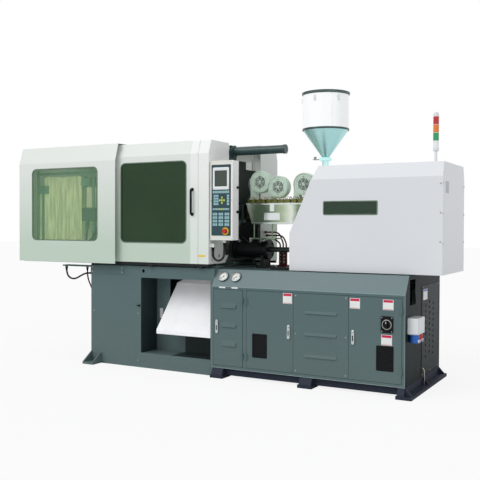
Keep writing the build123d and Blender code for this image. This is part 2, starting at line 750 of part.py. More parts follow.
# Fixed platen: it carries the tie bars, the mould half and the nozzle's pocket
bolt_fields = ((mould_bolts_near, mould_bolts_far), (mould_bolts_far, mould_bolts_near))
mould_holes = [(y, axis_height + z) for a, b in bolt_fields
               for y in (-a / 2, a / 2) for z in (-b / 2, b / 2)]


def platen(x, half_size=platen_half, radius=tie_bar_radius):
    """A square cast platen with round corners and four tie-bar holes."""
    with BuildSketch(Plane.YZ.offset(x[0])) as face:
        with Locations((0, axis_height)):
            RectangleRounded(2 * half_size, 2 * half_size, 60)
    extrude(face.sketch, amount=x[1] - x[0])
    round_x(x, tie_places, radius + running_gap, Mode.SUBTRACT)


def platen_feet(x, foot):
    """Two feet under a platen, over the slideways."""
    for side in (-1, 1):
        block(x, sided(side, slideway_inner + 5, slideway_outer - 45), (foot, platen_bottom + 20))


with BuildPart() as fixed_platen:
    x_fixed = (x_fixed_left, x_fixed_right)
    platen(x_fixed)
    platen_feet(x_fixed, slideway_top)
    block((x_fixed_right - 60, x_fixed_right), (safety_y - 50, 170), (platen_top - 20, safety_block_top))
    round_x((x_fixed_left, x_fixed_left + locating_depth), centre, locating_radius, Mode.SUBTRACT)
    round_x((x_fixed_left, x_fixed_right), centre, locating_radius - 10, Mode.SUBTRACT)
    round_x((x_fixed_right - tie_nut_length, x_fixed_right), tie_places, tie_nut_radius + running_gap,
            Mode.SUBTRACT)
    with BuildSketch(Plane.YZ.offset(x_fixed_right)):
        with Locations((0, axis_height)):
            Circle(nozzle_pocket_radius)
    with BuildSketch(Plane.YZ.offset(x_fixed_left + 2 * locating_depth)):
        with Locations((0, axis_height)):
            Circle(locating_radius - 10)
    loft(mode=Mode.SUBTRACT)
    round_x((x_fixed_left, x_fixed_left + mould_bolt_depth), mould_holes, mould_bolt_radius, Mode.SUBTRACT)
keep(fixed_platen, "fixed_platen")

# Tail platen with the clamp cylinder cast onto it
with BuildPart() as tail_platen:
    x_tail = (x_tail_left, x_tail_right)
    platen(x_tail)
    platen_feet(x_tail, slideway_top)
    with BuildSketch(Plane.XY):
        with BuildLine():
            Polyline((x_tail_left, 0), (x_tail_left, cylinder_radius + 50),
                     (x_tail_left - 40, cylinder_radius + 50), (x_tail_left - 90, cylinder_radius),
                     (x_tail_left - cylinder_length + 60, cylinder_radius),
                     (x_tail_left - cylinder_length, cylinder_radius - 60),
                     (x_tail_left - cylinder_length, 0), close=True)
        make_face()
    barrel_turn = revolve(axis=Axis.X, mode=Mode.PRIVATE)
    add(barrel_turn.moved(Location((0, 0, axis_height))))
    round_x((x_tail_left - cylinder_length + 60, x_tail_right), centre, ram_radius + running_gap,
            Mode.SUBTRACT)
keep(tail_platen, "tail_platen")

# Four tie bars with their end nuts
with BuildPart() as tie_bars:
    for x_nut in (x_tail_left - tie_nut_length, x_fixed_right - tie_nut_length):
        with BuildSketch(Plane.YZ.offset(x_nut)):
            with Locations(*tie_places):
                RegularPolygon(tie_nut_radius, 8)
        extrude(amount=tie_nut_length)
    round_x((x_tail_left - tie_nut_length - 15, x_fixed_right), tie_places, tie_bar_radius)
keep(tie_bars, "tie_bars")

# Moving platen with the safety rod, then its ram and its ejector
with BuildPart() as moving_platen:
    x_moving = (x_moving_left, x_moving_right)
    platen(x_moving)
    platen_feet(x_moving, slideway_top + slide_gap)
    round_x(x_moving, centre, ejector_radius + running_gap, Mode.SUBTRACT)
    round_x((x_moving_right - mould_bolt_depth, x_moving_right), mould_holes, mould_bolt_radius,
            Mode.SUBTRACT)
    block((x_moving_right - 70, x_moving_right - 10), (safety_y - 45, safety_y + 45),
          (platen_top - 20, safety_height + 45))
    round_x((x_moving_right - 10, x_fixed_right - 10), [(safety_y, safety_height)], safety_rod_radius)
keep(moving_platen, "moving_platen")

ram_inside = 800
with BuildPart() as clamp_ram:
    round_x((x_moving_left - ram_inside, x_moving_left), centre, ram_radius)
    round_x((x_moving_left - 300, x_moving_left), centre, ejector_radius + running_gap, Mode.SUBTRACT)
keep(clamp_ram, "clamp_ram")

ejector_stroke = 100
with BuildPart() as ejector_rod:
    round_x((x_moving_left - 180, x_moving_right - 2), centre, ejector_radius)
    chamfer(ejector_rod.edges().group_by(Axis.X)[-1], length=3)
keep(ejector_rod, "ejector_rod")

# Safety tube that the rod runs into
with BuildPart() as safety_tube:
    x_tube = (x_fixed_right - 17, x_fixed_right + safety_tube_length)
    x_cap = x_tube[1] - safety_cap_length
    safety_line = [(safety_y, safety_height)]
    block((x_tube[0], x_fixed_right), (safety_y - 50, safety_y + 50), (safety_block_top, safety_height + 52))
    round_x((x_fixed_right, x_fixed_right + 14), safety_line, safety_tube_radius + 18)
    round_x((x_tube[0], x_tube[1]), safety_line, safety_tube_radius + weld_seam, Mode.SUBTRACT)
    round_x((x_tube[0], x_cap - weld_seam), safety_line, safety_tube_radius)
    round_x((x_cap, x_tube[1]), safety_line, safety_tube_radius + 4)
    round_x((x_tube[0], x_tube[1] - safety_cap_end), safety_line, safety_tube_radius - safety_tube_wall,
            Mode.SUBTRACT)
keep(safety_tube, "safety_tube")

# Guards: folded sheet covers, front and rear
clamp_fold = [(-clamp_cover_half_width, clamp_cover_bottom), (-clamp_cover_half_width, clamp_cover_fold),
              (-clamp_cover_half_width + clamp_cover_inset, clamp_cover_top),
              (-guard_top_edge, clamp_cover_top)]
gate_fold_line = [(-gate_half_width, gate_bottom), (-gate_half_width, gate_fold),
                  (-gate_half_width + gate_inset, gate_top)]
x_clamp_window = (x_left + 170, x_clamp_cover_right - 205)
z_clamp_window = (1129, 1795)
x_gate_window = (x_gate_left + 130, x_gate_right - 120)
z_gate_window = (1118, 1818)
with BuildPart() as clamp_cover:
    run_x(folded(clamp_fold, sheet), (x_left, x_clamp_cover_right))
    end_wall = clamp_fold + [(-1, clamp_cover_top), (-1, clamp_cover_bottom)]
    run_x(end_wall, (x_left, x_left + sheet))
    pane_y(x_clamp_window, z_clamp_window, window_corner,
           (-clamp_cover_half_width, -clamp_cover_half_width + sheet), Mode.SUBTRACT)
keep(clamp_cover, "clamp_cover")

with BuildPart() as clamp_window:
    pane_y(grown(x_clamp_window, window_lap), grown(z_clamp_window, window_lap), window_corner + window_lap,
           (-clamp_cover_half_width + sheet, -clamp_cover_half_width + sheet + pane))
keep(clamp_window, "clamp_window")

with BuildPart() as fixed_cover:
    top_run = gate_fold_line + [(-guard_top_edge, gate_top)]
    x_cover = (x_gate_right + door_gap, x_fixed_cover)
    run_x(folded(top_run, sheet), x_cover)
    run_x(top_run + [(-guard_top_edge, gate_bottom + 67), (-guard_top_edge - 64, gate_bottom)],
          (x_fixed_cover - sheet, x_fixed_cover))
    block((x_fixed_cover, cable_end[0] + cable_elbow), about(cable_y, cable_elbow),
          (cable_end[2], cable_end[2] + 2 * cable_elbow))
keep(fixed_cover, "fixed_cover")

with BuildPart() as rear_covers:
    mirror(clamp_cover.part, about=Plane.XZ)
    pane_y(x_clamp_window, z_clamp_window, window_corner,
           (clamp_cover_half_width - sheet, clamp_cover_half_width))
    rear_run = [(-y, z) for y, z in folded(top_run, sheet)]
    run_x(rear_run, (x_gate_right + door_gap, x_rear_cover))
    run_x([(-y, z) for y, z in top_run + [(-guard_top_edge, gate_bottom)]],
          (x_rear_cover - sheet, x_rear_cover))
keep(rear_covers, "rear_covers")


# Sliding gates
def gate_pan(side):
    """A sliding gate's folded sheet with turned-in ends, on the front (-1) or rear (1) side."""
    line = gate_fold_line + [(-gate_half_width + gate_inset + gate_depth, gate_top)]
    skin = [(y * -side, z) for y, z in folded(line, sheet)]
    run_x(skin, (x_gate_left, x_gate_right))
    end = [(-gate_half_width, gate_bottom), (-gate_half_width, gate_fold),
           (-gate_half_width + gate_inset, gate_top), (-gate_half_width + gate_inset + sheet, gate_top),
           (-gate_half_width + gate_depth, gate_fold - 20), (-gate_half_width + gate_depth, gate_bottom)]
    end = [(y * -side, z) for y, z in end]
    run_x(end, (x_gate_left, x_gate_left + sheet))
    run_x(end, (x_gate_right - sheet, x_gate_right))
    block((x_gate_left, x_gate_right), sided(side, gate_half_width, gate_half_width - gate_depth),
          (gate_bottom, gate_bottom + sheet))


def bend_radii(points):
    """One radius for each corner of a route, as large as its two runs allow."""
    radii = []
    for before, corner, after in zip(points, points[1:], points[2:]):
        run_in = Vector(*corner) - Vector(*before)
        run_out = Vector(*after) - Vector(*corner)
        turn = radians(run_in.get_angle(run_out))
        radii.append(0.45 * min(run_in.length, run_out.length) / tan(turn / 2))
    return radii


def tube(points, radius, radii=None):
    """A round bar or hose along straight runs joined by arcs."""
    with BuildLine() as route:
        FilletPolyline(*points, radius=radii or bend_radii(points))
    start = Vector(*points[0])
    with BuildSketch(Plane(origin=start, z_dir=Vector(*points[1]) - start)) as section:
        Circle(radius)
    sweep(section.sketch, path=route.wires()[0])


def pull_handle(side):
    """A bowed pull handle on a gate's closing edge."""
    x = x_gate_right - handle_from_edge
    foot = (z_gate_window[0] + z_gate_window[1] - handle_length) / 2 + handle_bar / 2
    head = foot + handle_length - handle_bar
    face = side * gate_half_width
    grip = face + side * (handle_reach - handle_bar / 2)
    tube([(x, face, foot), (x, grip, foot), (x, grip, head), (x, face, head)], handle_bar / 2, [14, 14])
    for z in (foot, head):
        round_y(sorted((face, face + side * 4)), [(x, z)], handle_bar * 0.8)


with BuildPart() as front_gate:
    gate_pan(-1)
    pane_y(x_gate_window, z_gate_window, window_corner, (-gate_half_width, -gate_half_width + sheet),
           Mode.SUBTRACT)
    pull_handle(-1)
keep(front_gate, "front_gate")

with BuildPart() as front_gate_window:
    pane_y(grown(x_gate_window, window_lap), grown(z_gate_window, window_lap), window_corner + window_lap,
           (-gate_half_width + sheet, -gate_half_width + sheet + pane))
keep(front_gate_window, "front_gate_window")

with BuildPart() as rear_gate:
    gate_pan(1)
    pull_handle(1)
keep(rear_gate, "rear_gate")

# Rails that the gates slide on, below and above
rail_top = gate_bottom - slide_gap
guide_top = gate_top - sheet - slide_gap
guide_y = (gate_half_width - gate_inset - 24, gate_half_width - gate_inset - 6)
with BuildPart() as gate_rails:
    for side, x_end in ((-1, x_fixed_cover - sheet), (1, x_rear_cover - sheet)):
        rail_y = sided(side, gate_half_width - 5, gate_half_width - 5 - rail_depth)
        block((x_left + sheet, x_end), rail_y, (rail_top - rail_height, rail_top))
        block((x_left + sheet, x_end), sided(side, *guide_y), (guide_top - 18, guide_top))
        for x in (x_base + 30, (x_base + x_cabinet) / 2, x_fixed_left + 40):
            block((x, x + 50), sided(side, gate_half_width - 5, base_half_width - 30),
                  (base_height, rail_top - rail_height))
keep(gate_rails, "gate_rails")

# Operator's control box, carried on two arms by the fixed cover
x_keypad = (x_control[0] + keypad_margin, x_control[1] - keypad_margin)
z_keypad = (z_control[0] + 41, z_control[1] - 38)
keypad_face = y_control[0] - 4
stop_place = (x_keypad[1] - 44, z_keypad[0] + 34)
stop_travel = 5
stop_ring = 4
with BuildPart() as control_box:
    block(x_control, y_control, z_control)
    fillet(control_box.edges().filter_by(Axis.Z), radius=8)
    for z in (z_control[0] + 110, z_control[1] - 130):
        block((x_fixed_cover, x_control[0]), (y_control[0] + 30, y_control[0] + 80), (z, z + 60))
    for z in (z_control[0] + 235, z_control[0] + 438):
        round_x((x_control[1], x_control[1] + 8), [(y_control[1] - 32, z)], 10)
        block((x_control[1], x_control[1] + 14), (y_control[1] - 36, y_control[1] - 2), (z - 5, z + 5))
    round_y((y_control[0], y_control[0] + 40), [stop_place], 9, Mode.SUBTRACT)
    round_z((cable_start[2], z_control[0]), [cable_start[:2]], cable_radius + 6)
keep(control_box, "control_box")


def keys(x, z, columns, rows, fill=0.74):
    """A field of raised keys in the keypad's face."""
    pitch_x = (x[1] - x[0]) / columns
    pitch_z = (z[1] - z[0]) / rows
    for i in range(columns):
        for j in range(rows):
            x0 = x[0] + pitch_x * (i + (1 - fill) / 2)
            z0 = z[0] + pitch_z * (j + (1 - fill) / 2)
            block((x0, x0 + pitch_x * fill), (keypad_face - 1.5, keypad_face), (z0, z0 + pitch_z * fill))


with BuildPart() as keypad:
    block(x_keypad, (keypad_face, y_control[0]), z_keypad)
    bezel_x = (x_keypad[0] + 14, x_keypad[1] - 10)
    bezel_z = (z_keypad[1] - 203, z_keypad[1] - 20)
    screen_x = (bezel_x[0] + 20, bezel_x[1] - 18)
    screen_z = (bezel_z[0] + 25, bezel_z[1] - 25)
    pane_y(bezel_x, bezel_z, 8, (keypad_face - 4, keypad_face))
    block(screen_x, (keypad_face - 4, keypad_face - 1), screen_z, Mode.SUBTRACT)
    keys((x_keypad[0] + 10, x_keypad[1] - 8), (z_keypad[0] + 345, z_keypad[0] + 372), 10, 1)
    keys((x_keypad[0] + 18, x_keypad[0] + 68), (z_keypad[0] + 248, z_keypad[0] + 338), 3, 4)
    keys((x_keypad[1] - 34, x_keypad[1] - 6), (z_keypad[0] + 248, z_keypad[0] + 338), 1, 4)
    cross = ((x_keypad[0] + x_keypad[1]) / 2 + 11, z_keypad[0] + 290)
    for dx, dz in ((0, 0), (20, 0), (-20, 0), (0, 22), (0, -22)):
        keys((cross[0] + dx - 9, cross[0] + dx + 9), (cross[1] + dz - 10, cross[1] + dz + 10), 1, 1)
    keys((x_keypad[0] + 10, x_keypad[1] - 8), (z_keypad[0] + 207, z_keypad[0] + 226), 10, 1)
    for start in (10, 67, 125):
        keys((x_keypad[0] + start, x_keypad[0] + start + 46), (z_keypad[0] + 74, z_keypad[0] + 190), 3, 4)
    round_y((keypad_face - stop_ring, keypad_face), [stop_place], stop_button_radius + 7)
    round_y((keypad_face - stop_ring, y_control[0]), [stop_place], 9, Mode.SUBTRACT)
    round_y((keypad_face - 3, keypad_face), [(x_keypad[0] + 22, z_keypad[0] + 36)], 7)
keep(keypad, "keypad")

with BuildPart() as stop_button:
    y_cap = keypad_face - stop_ring - stop_travel - 1
    round_y((y_cap - 13, y_cap), [stop_place], stop_button_radius)
    fillet(stop_button.edges().group_by(Axis.Y)[0], radius=5)
    round_y((y_cap, y_control[0] + 25), [stop_place], 8)
keep(stop_button, "stop_button")

# The control box's cable and the two hoses under the clamp cover, each held at both its ends
cords = {"control_cable": (cable_route, cable_radius),
         "long_clamp_hose": (long_hose_route, long_hose_radius),
         "short_clamp_hose": (short_hose_route, short_hose_radius)}
for cord_name, (cord_route, cord_radius) in cords.items():
    with BuildPart() as cord:
        tube(cord_route, cord_radius)
    keep(cord, cord_name)
    print(cord_name, "bend radii", [round(radius) for radius in bend_radii(cord_route)])

# Slideways for the injection unit and the seat cylinder that draws it to the mould
way_height = 25
with BuildPart() as carriage_guides:
    for side in (-1, 1):
        block((x_cabinet + 420, x_cabinet_end - 8), about(side * rail_half_spacing, rail_width / 2),
              (cabinet_top, cabinet_top + way_height))
    x_seat = (x_fixed_right, x_fixed_right + seat_cylinder_length)
    seat = [(0, seat_height)]
    round_x(x_seat, seat, seat_cylinder_radius)
    round_x((x_seat[0], x_seat[0] + 22), seat, seat_cylinder_radius + 16)
    round_x((x_seat[1] - 24, x_seat[1]), seat, seat_cylinder_radius + 14)
    round_x((x_seat[0] + 15, x_seat[1]), seat, 22 + running_gap, Mode.SUBTRACT)
    block((x_seat[1] - 60, x_seat[1] - 30), (-70, 70),
          (cabinet_top, seat_height - seat_cylinder_radius + 20))
    block((x_seat[1] - 90, x_seat[1]), (-90, 90), (cabinet_top, cabinet_top + 14))
keep(carriage_guides, "carriage_guides")

# Injection housing: bed, shoes, feed block, injection cylinders and the seat cylinder's rod
x_bed = (x_housing_left - 18, x_right - 55)
bed_half = barrel_cover_half_width - sheet
bed_top = bed_height + bed_thickness
cylinder_half = 105
x_inject = (x_housing_right, x_housing_right + dose_stroke + 192)
with BuildPart() as injection_housing:
    x_housing = (x_housing_left, x_housing_right)
    block(x_housing, about(0, housing_half_width), (bed_top, housing_top))
    fillet(injection_housing.edges().filter_by(Axis.Z), radius=20)
    block(x_bed, (-bed_half, bed_half), (bed_height, bed_top))
    for side in (-1, 1):
        for x in (x_housing_left + 2, x_housing_left + 552):
            block((x, x + 100), about(side * rail_half_spacing, rail_width / 2),
                  (cabinet_top + way_height + slide_gap, bed_height))
    inject_places = [(-cylinder_half, axis_height), (cylinder_half, axis_height)]
    round_x(x_inject, inject_places, 45)
    round_x((x_inject[1] - 20, x_inject[1]), inject_places, 52)
    round_x((x_inject[0] + 15, x_inject[1]), inject_places, 20 + running_gap, Mode.SUBTRACT)
    round_x(x_housing, centre, barrel_radius + slide_gap, Mode.SUBTRACT)
    round_z((axis_height, housing_top), [(x_hopper, 0)], neck_bore, Mode.SUBTRACT)
    round_x((x_fixed_right + 45, x_housing_left), seat, 22)
keep(injection_housing, "injection_housing")

# Barrel with its nozzle and heater bands
x_nozzle = x_fixed_left + locating_depth + 5
x_barrel = (x_fixed_right + 55, x_housing_right - 48)
bore_radius = screw_radius + 0.4
x_flange = (x_housing_left - 12, x_housing_left)
with BuildPart() as barrel:
    with BuildSketch(Plane.XY) as turned:
        with BuildLine():
            Polyline((x_nozzle, 5), (x_nozzle, 14), (x_nozzle + 12, 22), (x_nozzle + 40, nozzle_radius),
                     (x_fixed_right - 15, nozzle_radius), (x_fixed_right + 5, barrel_radius - 8),
                     (x_barrel[0], barrel_radius - 8), (x_barrel[0], barrel_radius),
                     (x_flange[0], barrel_radius), (x_flange[0], barrel_radius + 25),
                     (x_flange[1], barrel_radius + 25), (x_flange[1], barrel_radius),
                     (x_barrel[1], barrel_radius), (x_barrel[1], bore_radius),
                     (x_barrel[0], bore_radius), (x_barrel[0] - 30, 5), close=True)
        make_face()
    barrel_body = revolve(turned.sketch, axis=Axis.X, mode=Mode.PRIVATE)
    add(barrel_body.moved(Location((0, 0, axis_height))))
    band_pitch = (x_housing_left - 30 - x_barrel[0] - 30) / 6
    for i in range(6):
        x = x_barrel[0] + 30 + band_pitch * i
        round_x((x, x + band_pitch - 16), centre, barrel_radius + 9)
        round_x((x, x + band_pitch - 16), centre, bore_radius, Mode.SUBTRACT)
    round_z((axis_height, axis_height + barrel_radius + 1), [(x_hopper, 0)], neck_bore, Mode.SUBTRACT)
keep(barrel, "barrel")

# Screw with its flight, then the plate that pushes it with the motor that turns it
x_plate = (x_inject[1] + 40, x_inject[1] + 100)
flight_pitch = 60
flight_turns = round((x_hopper - x_barrel[0]) / flight_pitch)
with BuildPart() as screw:
    x_tip = x_barrel[0] + 8
    round_x((x_tip + 30, x_plate[1] - 8), centre, screw_radius - 9)
    with BuildSketch(Plane.YZ.offset(x_tip)) as tip_end:
        with Locations((0, axis_height)):
            Circle(4)
    with BuildSketch(Plane.YZ.offset(x_tip + 30)) as tip_base:
        with Locations((0, axis_height)):
            Circle(screw_radius - 9)
    loft([tip_end.sketch.face(), tip_base.sketch.face()])
    round_x((x_tip + 60 + flight_pitch * flight_turns, x_plate[1] - 8), centre, screw_radius - 2)
    with BuildLine() as helix_line:
        Helix(pitch=flight_pitch, height=flight_pitch * flight_turns, radius=screw_radius - 10,
              center=(x_tip + 50, 0, axis_height), direction=(1, 0, 0))
    start = helix_line.line @ 0
    radial = Vector(0, start.Y, start.Z - axis_height)
    with BuildSketch(Plane(origin=start, x_dir=radial, z_dir=helix_line.line % 0)) as flight_section:
        with Locations((5, 0)):
            Rectangle(10, 7)
    sweep(flight_section.sketch, path=helix_line.line, is_frenet=True)
keep(screw, "screw")

with BuildPart() as injection_plate:
    block(x_plate, (-165, 165), (axis_height - 85, axis_height + 85))
    fillet(injection_plate.edges().filter_by(Axis.X), radius=30)
    round_x(x_plate, centre, screw_radius - 2 + running_gap, Mode.SUBTRACT)
    round_x((x_inject[0] + 40, x_plate[0]), inject_places, 20)
    round_x((x_plate[1], x_plate[1] + 30), centre, 85)
    round_x((x_plate[1] + 30, x_plate[1] + 150), centre, 72)
    round_x((x_plate[1] + 150, x_plate[1] + 180), centre, 50)
    for i in range(5):
        angle = radians(72 * i + 18)
        round_x((x_plate[1] + 30, x_plate[1] + 130),
                [(62 * cos(angle), axis_height + 62 * sin(angle))], 24)
keep(injection_plate, "injection_plate")

# Stainless shroud over the barrel, with its terminal boxes and drip tray
x_shroud = (x_fixed_right + shroud_left + 42, x_housing_left - 12)
with BuildPart() as shroud:
    run_x(folded([(-shroud_half_width, shroud_bottom), (-shroud_half_width, shroud_top),
                  (shroud_half_width, shroud_top), (shroud_half_width, shroud_bottom)], sheet), x_shroud)
    run_y([(x_shroud[0], shroud_bottom), (x_shroud[0], shroud_top),
           (x_shroud[0] + shroud_slant, shroud_bottom)], about(0, shroud_half_width), Mode.SUBTRACT)
    x_shroud_end = (x_shroud[1] - sheet, x_shroud[1])
    block(x_shroud_end, about(0, shroud_half_width), (shroud_bottom, shroud_top))
    round_x(x_shroud_end, centre, barrel_radius + slide_gap, Mode.SUBTRACT)
    box_pitch = (x_shroud[1] - x_shroud[0] - 20) / 9
    for i in range(9):
        x = x_shroud[0] + 14 + box_pitch * i
        block((x, x + box_pitch - 18), about(-shroud_half_width + 27, 19), (shroud_top, shroud_top + 30))
    tray_top = shroud_bottom - tray_drop
    for x in (x_shroud[0] + 75, x_shroud[0] + 250):
        round_z((tray_top, shroud_bottom), [(x, -shroud_half_width + 12)], 5)
        block(about(x, 8), about(-shroud_half_width + 10, 10), (shroud_bottom, shroud_bottom + 12))
    block((x_shroud[0] + 40, x_shroud[0] + 285), about(-shroud_half_width + 60, 70),
          (tray_top - plate, tray_top))
keep(shroud, "shroud")

# Three cooling blowers, each with its own wheel
blower_steps = ((285, 185), (459, 138), (697, 157))
blower_places = [(x_fixed_right + along, shroud_top + up) for along, up in blower_steps]
blower_y = (blower_front, blower_front + blower_depth)
with BuildPart() as blower_housings:
    for x, z in blower_places:
        round_y(blower_y, [(x, z)], blower_radius)
        block((x - blower_radius, x - blower_radius + 56), (blower_y[0] + 6, blower_y[1]), (shroud_top, z))
        round_y((blower_y[0] + 6, blower_y[1] - 6), [(x, z)], blower_radius - 5, Mode.SUBTRACT)
        block((x - blower_radius + 4, x - blower_radius + 52), (blower_y[0] + 10, blower_y[1] - 4),
              (shroud_top, z), Mode.SUBTRACT)
        round_y((blower_y[0], blower_y[0] + 6), [(x, z)], blower_inlet_radius, Mode.SUBTRACT)
        with BuildSketch(Plane.XZ.offset(-blower_y[0])) as ring:
            with Locations((x, z)):
                Circle(blower_radius - 16)
                Circle(blower_radius - 26, mode=Mode.SUBTRACT)
                Circle(blower_inlet_radius + 7)
                Circle(blower_inlet_radius, mode=Mode.SUBTRACT)
        extrude(ring.sketch, amount=4)
        round_y((blower_y[1] - 6, blower_y[1] + 62), [(x, z)], 44)
        round_y((blower_y[1] - 6, blower_y[1] + 20), [(x, z)], 5 + running_gap, Mode.SUBTRACT)
keep(blower_housings, "blower_housings")

wheel_radius = blower_inlet_radius - 6
blade_thickness = 3
for number, (x, z) in enumerate(blower_places, 1):
    with BuildPart() as blower_wheel:
        back = blower_y[1] - 8
        round_y((back - 3, back), [(x, z)], wheel_radius)
        round_y((back - 24, back), [(x, z)], 13)
        round_y((back, blower_y[1] + 15), [(x, z)], 5)
        for i in range(8):
            angle = radians(45 * i)
            lean = angle + radians(28)
            inner = (x + 12 * cos(angle), z + 12 * sin(angle))
            outer = (x + (wheel_radius - 1) * cos(lean), z + (wheel_radius - 1) * sin(lean))
            da = -blade_thickness / 2 * sin(lean)
            db = blade_thickness / 2 * cos(lean)
            run_y([(inner[0] - da, inner[1] - db), (outer[0] - da, outer[1] - db),
                   (outer[0] + da, outer[1] + db), (inner[0] + da, inner[1] + db)],
                  (blower_y[0] + 9, back - 2))
    keep(blower_wheel, f"blower_wheel_{number}")

# Barrel cover: one folded shell, open below and at its slanted end
cover_side = [(-barrel_cover_half_width, barrel_cover_bottom), (-barrel_cover_half_width, barrel_cover_fold),
              (-barrel_cover_half_width + barrel_cover_inset, barrel_cover_top)]
cover_line = cover_side + [(-y, z) for y, z in cover_side[::-1]]
x_slot = (x_barrel_cover + slot_window_left, x_barrel_cover + slot_window_left + slot_window_width)
z_slot = (slot_window_bottom, slot_window_bottom + slot_window_height)
with BuildPart() as barrel_cover:
    run_x(folded(cover_line, sheet), (x_barrel_cover, x_right))
    run_x(cover_line, (x_right - sheet, x_right))
    run_y([(x_barrel_cover, barrel_cover_kink), (x_barrel_cover + barrel_cover_slant, barrel_cover_top),
           (x_barrel_cover, barrel_cover_top)], about(0, barrel_cover_half_width), Mode.SUBTRACT)
    block(x_slot, (-barrel_cover_half_width, -barrel_cover_half_width + sheet), z_slot, Mode.SUBTRACT)
keep(barrel_cover, "barrel_cover")

with BuildPart() as cover_window:
    y_slot_pane = -barrel_cover_half_width + sheet
    block(grown(x_slot, window_lap), (y_slot_pane, y_slot_pane + pane), grown(z_slot, window_lap))
keep(cover_window, "cover_window")

# Hopper, its lid and its slide gate
hopper_plane = Plane(origin=(x_hopper, 0, 0), x_dir=(1, 0, 0), z_dir=(0, -1, 0))
hopper_axis = Axis((x_hopper, 0, 0), (0, 0, 1))
gate_box_z = (hopper_cone_foot - 26, hopper_cone_foot)
gate_slot_z = (hopper_cone_foot - 15, hopper_cone_foot - 10)
lid_lap = 10
lid_play = 3
lid_radius = hopper_radius + lid_play + hopper_sheet
lid_pin = (lid_radius + 5, hopper_top - lid_lap)
lid_knuckle = about(x_hopper, 40)
with BuildPart() as hopper:
    with BuildSketch(hopper_plane) as wall:
        with BuildLine():
            hopper_line = [(hopper_neck_radius, housing_top), (hopper_neck_radius, hopper_cone_foot),
                           (hopper_radius, hopper_cylinder_foot), (hopper_radius, hopper_top)]
            Polyline(*folded(hopper_line, -hopper_sheet), close=True)
        make_face()
    revolve(wall.sketch, axis=hopper_axis)
    round_z((housing_top, housing_top + 14), [(x_hopper, 0)], 62)
    block((x_hopper - 42, x_hopper + 42), (-34, 34), gate_box_z)
    round_z((housing_top, gate_box_z[1]), [(x_hopper, 0)], neck_bore, Mode.SUBTRACT)
    block((x_hopper - 43, x_hopper + neck_bore + 8), (-26, 26), gate_slot_z, Mode.SUBTRACT)
    for x_lug in ((lid_knuckle[0] - 14, lid_knuckle[0] - 2), (lid_knuckle[1] + 2, lid_knuckle[1] + 14)):
        block(x_lug, (hopper_radius - 6, lid_pin[0] + 5), (lid_pin[1] - 16, lid_pin[1] - 1))
        block(x_lug, about(lid_pin[0], 5), (lid_pin[1] - 16, lid_pin[1] + 5))
    round_x(grown(lid_knuckle, 14), [lid_pin], lid_pin_radius + 1)
keep(hopper, "hopper")

with BuildPart() as hopper_gate:
    block((x_hopper - 110, x_hopper + neck_bore + 7), (-26 + slide_gap, 26 - slide_gap),
          (gate_slot_z[0] + slide_gap, gate_slot_z[1] - slide_gap))
    fillet(hopper_gate.edges().filter_by(Axis.Z).group_by(Axis.X)[0], radius=12)
    round_z((gate_slot_z[0] + 1, gate_slot_z[1] + 22), [(x_hopper - 94, 0)], 11)
keep(hopper_gate, "hopper_gate")

z_lid_rim = (hopper_top - lid_lap, hopper_top + slide_gap)
hopper_centre = [(x_hopper, 0)]
with BuildPart() as hopper_lid:
    round_z((z_lid_rim[0], z_lid_rim[1] + 4), hopper_centre, lid_radius)
    block(lid_knuckle, (lid_radius - 6, lid_pin[0]), (lid_pin[1], hopper_top))
    round_x(lid_knuckle, [lid_pin], 5.5)
    round_x(lid_knuckle, [lid_pin], lid_pin_radius + 1 + slide_gap, Mode.SUBTRACT)
    round_z(z_lid_rim, hopper_centre, hopper_radius + lid_play, Mode.SUBTRACT)
    chamfer(hopper_lid.edges().group_by(Axis.Z)[-1], length=2)
keep(hopper_lid, "hopper_lid")

# Signal light: base, pole and four stacked lenses with a cap
x_light = x_right - light_from_right
light_profile = [(0, 0), (30, 0), (30, 6), (12, 20), (11, 100), (light_radius + 1, 111),
                 (light_radius + 1, 123)]
lens_height = 63
for i in range(4):
    foot = 123 + lens_height * i
    light_profile += [(light_radius - 2, foot), (light_radius - 2, foot + 4), (light_radius, foot + 4),
                      (light_radius, foot + lens_height)]
light_profile += [(light_radius, light_height - 22), (light_radius - 4, light_height - 8),
                  (light_radius - 12, light_height), (0, light_height)]
light_plane = Plane(origin=(x_light, 0, barrel_cover_top), x_dir=(1, 0, 0), z_dir=(0, -1, 0))
with BuildPart() as signal_light:
    with BuildSketch(light_plane) as light_half:
        with BuildLine():
            Polyline(*light_profile, close=True)
        make_face()
    revolve(light_half.sketch, axis=Axis((x_light, 0, 0), (0, 0, 1)))
keep(signal_light, "signal_light")

# Cooling water manifold with its hoses to the rear cover
x_manifold = x_fixed_right + 320
y_manifold = 215
column_places = [(x_manifold + 18, y_manifold), (x_manifold + 60, y_manifold)]
column_top = cabinet_top + 150
hose_ends = ((10, 190, 1150), (40, 245, 1210), (70, 275, 1180))
with BuildPart() as water_manifold:
    block((x_manifold - 8, x_manifold + 88), about(y_manifold, 30), (cabinet_top, cabinet_top + 18))
    round_z((cabinet_top + 18, column_top), column_places, 19)
    block((x_manifold - 4, x_manifold + 84), about(y_manifold, 22), (column_top, column_top + 10))
    for along, y_end, z_end in hose_ends:
        x_start = x_manifold + along
        tube([(x_start, y_manifold, column_top + 10), (x_start, y_manifold, column_top + 60),
              (x_start - 50, (y_manifold + y_end) / 2, z_end), (x_rear_cover + 50, y_end, z_end),
              (x_rear_cover, y_end, z_end)], 7)
        round_x((x_rear_cover, x_rear_cover + 14), [(y_end, z_end)], 12)
keep(water_manifold, "water_manifold")
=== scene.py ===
from itertools import product
from math import cos, pi, radians, sin

import bmesh
import bpy
from bpy.props import FloatProperty, FloatVectorProperty, PointerProperty
from mathutils import Matrix, Vector


